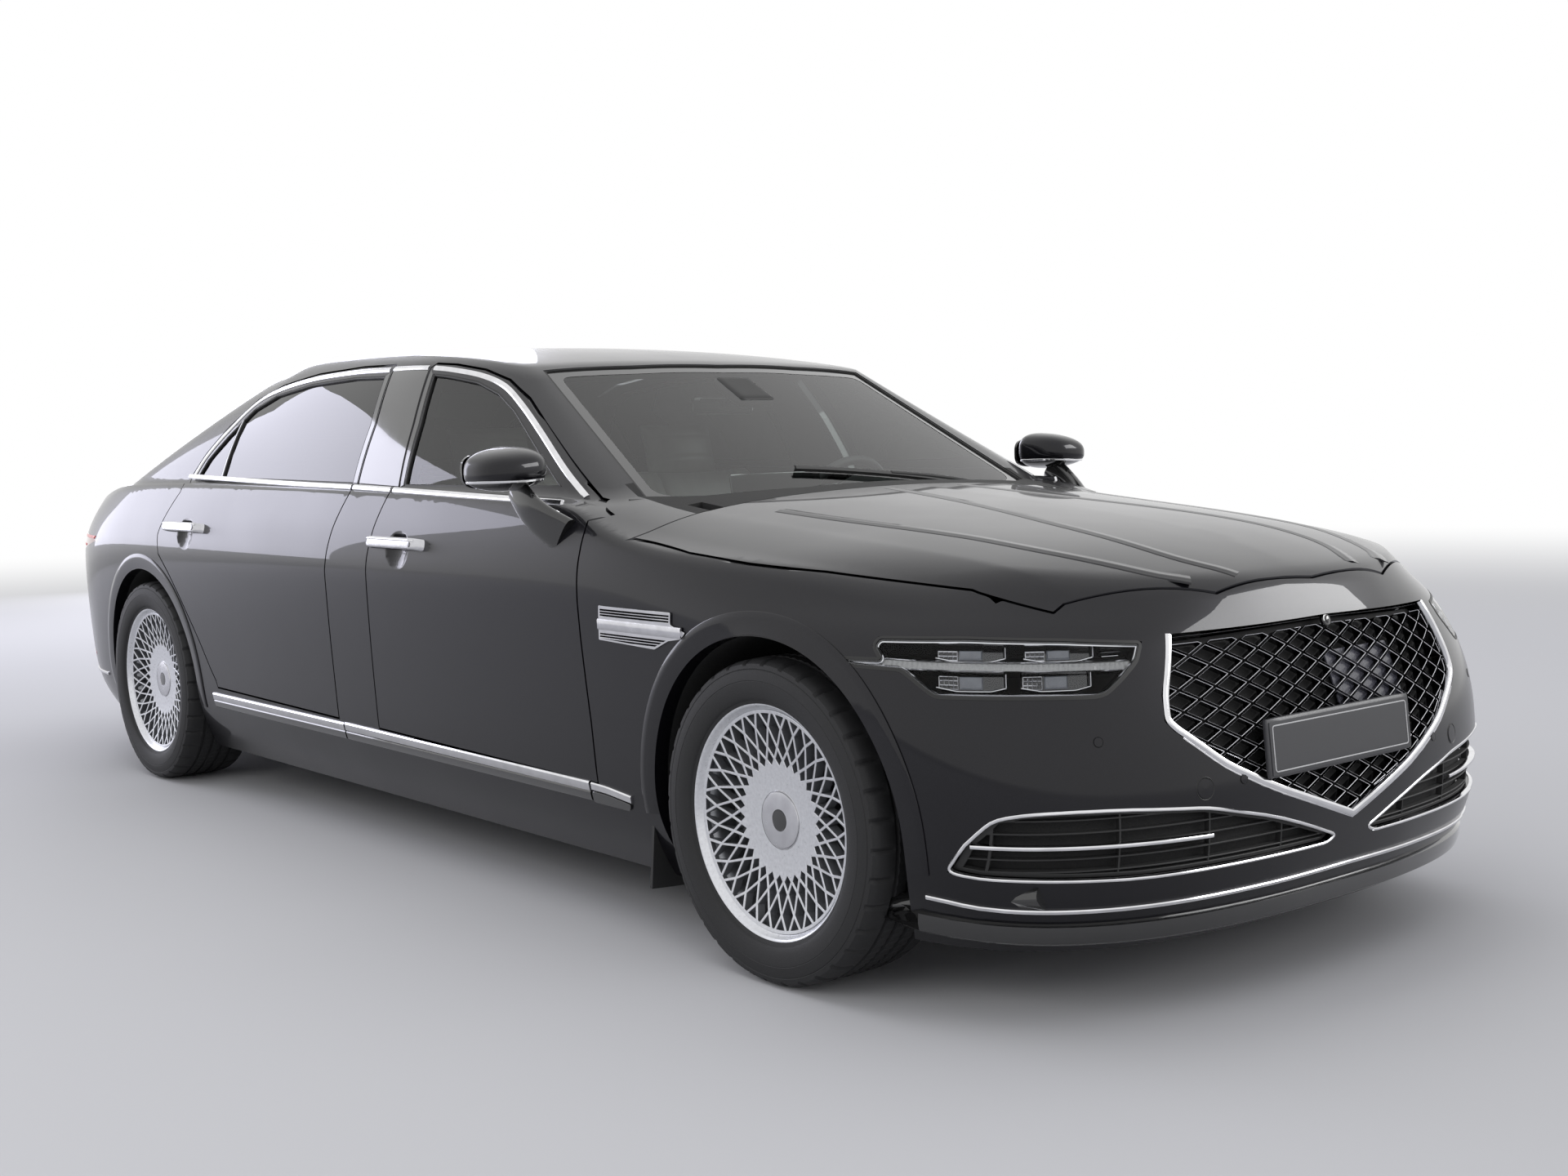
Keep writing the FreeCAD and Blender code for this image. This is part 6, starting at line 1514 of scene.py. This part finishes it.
def rear_seats():
    y = -345.0
    lean, ahead = Vector((-0.285, 0, 1.0)).normalized(), Vector((1, 0, 0.285)).normalized()
    cushion = pad("rear_cushion", (235, 262, 72), (-752, y - 30, 462), ALONG, UP, LEATHER, bolster=22,
                  channels=CUSHION)
    stands_for(cushion, "rear_seats")
    pad("rear_back", (235, 315, 62), (-1016, y - 30, 745), lean, ahead, LEATHER, bolster=26, channels=BACK)
    pad("rear_head", (128, 74, 46), (-1135, y - 20, 1128), lean, ahead, LEATHER, 0.85, **HEAD)
    pad("rear_middle_cushion", (122, 258, 62), (-755, 0, 456), ALONG, UP, LEATHER, twin=False)
    pad("rear_middle_back", (122, 120, 55), (-1075, 0, 935), lean, ahead, LEATHER, twin=False)
    pad("rear_armrest", (112, 180, 52), (-800, 0, 622), (1, 0, 0.02), (0, 0, 1), LEATHER, 0.85, twin=False,
        crown=0.06)
    box("rear_seat_base", (500, 1370, 170), 20, 4, (-760, 0, 325), LEATHER, 40)


front_seats()
rear_seats()

# Dash, console, steering wheel and door cards


def loft_y(name, profile, half, mat, bow, count=40):
    """A profile of (x, z) points carried across the car, bowed forward at the ends."""
    verts = []
    for k in range(count + 1):
        y = half * (2 * k / count - 1)
        end = max(0.0, abs(y) / half - 0.97) / 0.03
        for x, z in profile:
            verts.append(Vector((x + bow * (y / half) ** 2, y, z - 3 * end)))
    piece(name, verts, loop_faces(count + 1, len(profile), False, True), mat, "body", 40)


def dash_pieces():
    for name, profile, half, mat, bow in [
            ("dash_pad", [(1238, 950), (1246, 968), (1180, 1004), (1100, 1016), (1010, 1008), (930, 984), (872, 946),
                          (852, 912), (856, 896), (880, 894), (960, 940), (1100, 960)], 742.0, DASH, 12.0),
            ("dash_band", [(846, 892), (843, 884), (848, 838), (853, 832), (872, 832), (872, 892)], 738.0, WOOD,
             10.0),
            ("dash_line", [(848, 896), (842, 893), (848, 890), (860, 890), (860, 896)], 738.0, SATIN, 10.0),
            ("dash_lower", [(853, 828), (858, 790), (868, 700), (884, 642), (910, 640), (910, 828)], 734.0, DASH,
             8.0)]:
        loft_y(name, profile, half, mat, bow)
    for k, y in enumerate((-640, -105, 105, 640)):
        box("dash_vent_%d" % k, (12, 150, 46), 5, 3, (843, y, 862), PIANO)
        for j in range(4):
            box("dash_vent_slat_%d%d" % (k, j), (8, 138, 2.6), 1.0, 2, (836, y, 847 + 10 * j), SATIN)
    box("dash_screen", (14, 330, 112), 6, 4, (872, 0, 1010), PIANO, tilt=-0.2)
    hood = [(870, 960), (846, 990), (850, 1040), (880, 1060), (960, 1052), (1040, 1016), (1040, 980)]
    verts = []
    for k in range(25):
        y = 400 + 190 * (2 * k / 24 - 1)
        drop = 46 * abs(2 * k / 24 - 1) ** 3
        for x, z in hood:
            verts.append(Vector((x + drop * 0.4, y, min(z, 1000) + max(0.0, z - 1000) * (1 - drop / 60))))
    piece("dash_hood", verts, loop_faces(25, len(hood), False, True), DASH, "body", 35)
    box("dash_dials", (10, 320, 92), 8, 4, (843, 400, 985), PIANO, tilt=-0.3)
    box("console_top", (1160, 200, 60), 22, 5, (272, 0, 604), WOOD, tilt=-0.085)
    pad("console_armrest", (104, 165, 36), (-130, 0, 628), (1, 0, 0.02), (0, 0, 1), LEATHER, 0.85, twin=False,
        crown=0.06)
    dial = moved(lathe([(0.1, 26), (22, 24), (30, 16), (32, 0), (36, -8)], 48, [1, 0, 0, 0]),
                 Matrix.Translation((420, 0, 656)) @ Matrix.Rotation(-math.pi / 2, 4, "X"))
    piece("console_dial", *dial, [SATIN, PIANO], "body", 30)
    box("inner_mirror", (26, 236, 62), 18, 5, (628, 0, 1262), PIANO, tilt=0.12)
    box("inner_mirror_glass", (4, 222, 50), 14, 5, (614, 0, 1262), MIRROR, tilt=0.12)
    box("sensor_housing", (150, 130, 36), 16, 5, (728, 0, 1296), BLACK, tilt=0.48)
    stem = sweep([Vector((700, 0, 1296)), Vector((664, 0, 1284)), Vector((640, 0, 1264))], [Vector((0, 0, 1))] * 3,
                 crowned(16.0, 10.0, 10.0))
    piece("inner_mirror_stem", *stem, BLACK, "body", 35)


WHEEL_AT = Vector((693.0, 400.0, 934.0))
WHEEL_TILT, WHEEL_RING = math.radians(25), 172
WHEEL_AXIS = Vector((-math.cos(WHEEL_TILT), 0, math.sin(WHEEL_TILT)))


def steering_pieces():
    out = Vector((0, 1, 0))
    up = WHEEL_AXIS.cross(out).normalized()
    if up.z < 0:
        up = -up
    ring = [WHEEL_AT + (out * math.cos(t) + up * math.sin(t)) * WHEEL_RING for t in
            [2 * math.pi * k / 96 for k in range(96)]]
    outs = [(p - WHEEL_AT).normalized() for p in ring]
    rim = piece("steering_rim", *sweep(ring, outs, oval(15, 14, 20), True), DASH, "steering_wheel", 60)
    stands_for([rim], "steering_wheel")
    hub = moved(pad_mesh((92, 74, 26), crown=0.3, flat=0.9, sharp=4.0, count=32), placed(WHEEL_AT, up, WHEEL_AXIS))
    piece("steering_hub", *hub, DASH, "steering_wheel", 60)
    for name, way, wide in (("right", -out, 34), ("left", out, 34), ("low", -up, 30)):
        a, b = WHEEL_AT + way * 66, WHEEL_AT + way * 170
        section = [(-wide, -6), (-wide * 0.9, 5), (0, 8), (wide * 0.9, 5), (wide, -6)]
        piece("steering_spoke_" + name, *sweep([a, a.lerp(b, 0.5), b], [WHEEL_AXIS] * 3, section),
              SATIN if name == "low" else DASH, "steering_wheel", 40)
        if name != "low":
            ends = [WHEEL_AT + way * far + WHEEL_AXIS * 9 for far in (84, 140)]
            keys = sweep(ends, [WHEEL_AXIS] * 2, [(-20, -3), (-19, 2), (19, 2), (20, -3)])
            piece("steering_keys_" + name, *keys, PIANO, "steering_wheel", 40)
    ends = [WHEEL_AT - WHEEL_AXIS * 34, WHEEL_AT - WHEEL_AXIS * 190]
    piece("column_cover", *sweep(ends, [out] * 2, oval(44, 48, 32)), BLACK, "body", 40)


# where the door card lies from the door's outer surface
CARD_LIFT = -77.0


def card_pieces():
    for door, x0, x1 in [("front", 330, 1120), ("rear", -1080, -130)]:
        body = door + "_door_right"

        def strip(name, a, b, lift, section, mat, angle=35, step=24.0):
            trim("%s_card_%s" % (door, name), line_on("side", [a, b], LOWER, lift, step), section, mat, body,
                 angle=angle)

        strip("armrest", (x0 + 20, 660), (x1 - 60, 690), CARD_LIFT + 1,
              [(-34, 2), (-40, -34), (-30, -58), (18, -62), (32, -46), (34, 2)], CARD, 50)
        strip("wood", (x0, 770), (x1, 800), CARD_LIFT + 0.5, [(-26, 1), (-24, -5), (24, -5), (26, 1)], WOOD)
        strip("line", (x0, 800), (x1, 830), CARD_LIFT + 0.5, [(-4, 1), (-3, -6), (3, -6), (4, 1)], SATIN)
        strip("top", (x0, 905), (x1, 925), CARD_LIFT,
              [(-52, 1), (-56, -14), (-40, -24), (40, -26), (56, -16), (54, 1)], DASH, 50)
        strip("pocket", (x0 + 150, 450), (x1 - 160, 450), CARD_LIFT,
              [(-60, 1), (-64, -30), (-40, -44), (50, -48), (60, -36), (56, 1)], CARD, 50)
        spot, up = cast("side", x1 - 60, 560, LOWER, CARD_LIFT - 1)
        cone = lathe([(0.1, 8), (20, 7.5), (58, 5), (66, 3), (70, 0), (70, -4)], 48, [0, 0, 1, 1, 1])
        part = facing(cone, spot, -up)
        both(door + "_card_speaker", *part, [SHADOW_CHROME, BLACK], body, 30)
        strip("latch", (x1 - 190, 846), (x1 - 70, 849), CARD_LIFT - 5,
              [(-10, 4), (-12, -14), (-6, -24), (6, -24), (10, -12), (9, 4)], SATIN, step=20.0)


dash_pieces()
steering_pieces()
card_pieces()

# Floor, lights and camera


def seen_ray(tree, path):
    """1 for a ray from the camera, a reflection or see-through glass, else 0."""
    first, both_kinds = tree.nodes.new("ShaderNodeMath"), tree.nodes.new("ShaderNodeMath")
    first.operation = both_kinds.operation = "MAXIMUM"
    join(tree, path, "Is Camera Ray", first, 0)
    join(tree, path, "Is Glossy Ray", first, 1)
    join(tree, first, "Value", both_kinds, 0)
    join(tree, path, "Is Transmission Ray", both_kinds, 1)
    return both_kinds.outputs["Value"]


# metres from the car at which the floor starts to fade, and is white
FADE_FROM, FADE_TO = 5.0, 17.0


def floor_material():
    """A plain pale floor that fades into the white background far from the object."""
    mat, tree, shader = nodes_of("studio_floor")
    put(shader, Base_Color=colour(0.58, 0.58, 0.59), Roughness=0.9, Specular_IOR_Level=0.1)
    white = tree.nodes.new("ShaderNodeEmission")
    put(white, Color=colour(1.0), Strength=1.0)
    mix = tree.nodes.new("ShaderNodeMixShader")
    path = tree.nodes.new("ShaderNodeLightPath")
    where = tree.nodes.new("ShaderNodeTexCoord")
    far = tree.nodes.new("ShaderNodeVectorMath")
    far.operation = "LENGTH"
    join(tree, where, "Object", far, 0)
    fade = tree.nodes.new("ShaderNodeMapRange")
    fade.interpolation_type = "SMOOTHSTEP"
    put(fade, From_Min=FADE_FROM, From_Max=FADE_TO, To_Min=0.0, To_Max=1.0)
    join(tree, far, "Value", fade, "Value")
    share = tree.nodes.new("ShaderNodeMath")
    share.operation = "MULTIPLY"
    join(tree, fade, "Result", share, 0)
    tree.links.new(seen_ray(tree, path), share.inputs[1])
    join(tree, share, "Value", mix, "Fac")
    join(tree, shader, "BSDF", mix, 1)
    join(tree, white, "Emission", mix, 2)
    tree.links.new(mix.outputs["Shader"], tree.nodes["Material Output"].inputs["Surface"])
    return mat


# The camera that the photograph was fitted to: place in metres, azimuth, elevation and roll in degrees, and its
# focal length in pixels of the picture's width.
CAMERA_AT = (4.9147, -3.3402, 1.1711)
CAMERA_ANGLES = (50.2975, 4.7657, -1.2997)
FOCAL_PIXELS, PICTURE_WIDTH, SENSOR = 2249.2, 1920, 36.0
FLOOR_REACH = 40000


def stage_setup():
    scene = bpy.context.scene
    corners = [(-FLOOR_REACH, -FLOOR_REACH, 0), (FLOOR_REACH, -FLOOR_REACH, 0), (FLOOR_REACH, FLOOR_REACH, 0),
               (-FLOOR_REACH, FLOOR_REACH, 0)]
    floor = piece("studio_floor", corners, [[0, 1, 2, 3]], FLOOR, None, 0)
    world = bpy.data.worlds.new("studio")
    scene.world = world
    world.use_nodes = True
    tree = world.node_tree
    tree.nodes.clear()
    out = tree.nodes.new("ShaderNodeOutputWorld")
    lit, seen = tree.nodes.new("ShaderNodeBackground"), tree.nodes.new("ShaderNodeBackground")
    mix = tree.nodes.new("ShaderNodeMixShader")
    path = tree.nodes.new("ShaderNodeLightPath")
    put(lit, Color=(0.94, 0.95, 1.0, 1.0), Strength=0.66)
    put(seen, Color=(1.0, 1.0, 1.0, 1.0), Strength=1.0)
    tree.links.new(seen_ray(tree, path), mix.inputs["Fac"])
    join(tree, lit, "Background", mix, 1)
    join(tree, seen, "Background", mix, 2)
    join(tree, mix, "Shader", out, "Surface")
    for name, place, size, power, shown, tone in [
            ("ceiling", (0.3, 0.0, 5.2), (7.0, 3.0), 80.0, False, (1.0, 1.0, 1.0)),
            ("key_right", (2.5, -6.5, 3.6), (6.0, 2.4), 90.0, False, (1.0, 1.0, 1.0)),
            ("front", (8.5, -1.5, 3.2), (5.0, 2.2), 60.0, False, (1.0, 1.0, 1.0)),
            ("left_fill", (0.0, 7.5, 4.0), (7.0, 2.5), 50.0, False, (1.0, 1.0, 1.0)),
            ("rear", (-8.0, 0.5, 3.4), (5.0, 2.2), 50.0, False, (1.0, 1.0, 1.0)),
            ("wall_right", (-9.4, -3.6, 2.9), (3.6, 4.8), 190.0, True, (0.84, 0.84, 1.0)),
            ("wall_left", (-9.4, 3.6, 2.9), (3.6, 4.8), 190.0, True, (0.84, 0.84, 1.0)),
            ("nose_box", (7.2, 5.2, 4.4), (5.6, 3.4), 420.0, True, (1.0, 1.0, 1.0))]:
        light = bpy.data.lights.new(name, "AREA")
        light.shape = "RECTANGLE"
        light.size, light.size_y = size
        light.energy, light.color = power, tone
        lamp = bpy.data.objects.new(name, light)
        lamp.location = place
        lamp.rotation_euler = (Vector((1.2, 0.0, 0.7)) - Vector(place)).to_track_quat("-Z", "Y").to_euler()
        lamp.visible_glossy = shown
        lamp.visible_diffuse = name != "nose_box"
        scene.collection.objects.link(lamp)
    data = bpy.data.cameras.new("camera")
    data.sensor_width, data.lens = SENSOR, FOCAL_PIXELS / PICTURE_WIDTH * SENSOR
    data.clip_end = 200.0
    camera = bpy.data.objects.new("camera", data)
    a, e, roll = (math.radians(v) for v in CAMERA_ANGLES)
    back = Vector((math.sin(a) * math.cos(e), -math.cos(a) * math.cos(e), math.sin(e)))
    right = (-back).cross(Vector((0, 0, 1))).normalized()
    up = back.cross(right)
    x = right * math.cos(roll) + up * math.sin(roll)
    y = up * math.cos(roll) - right * math.sin(roll)
    camera.matrix_world = Matrix((x, y, back)).transposed().to_4x4()
    camera.location = CAMERA_AT
    scene.collection.objects.link(camera)
    scene.camera = camera
    scene.view_settings.view_transform = "Standard"


FLOOR = floor_material()
stage_setup()
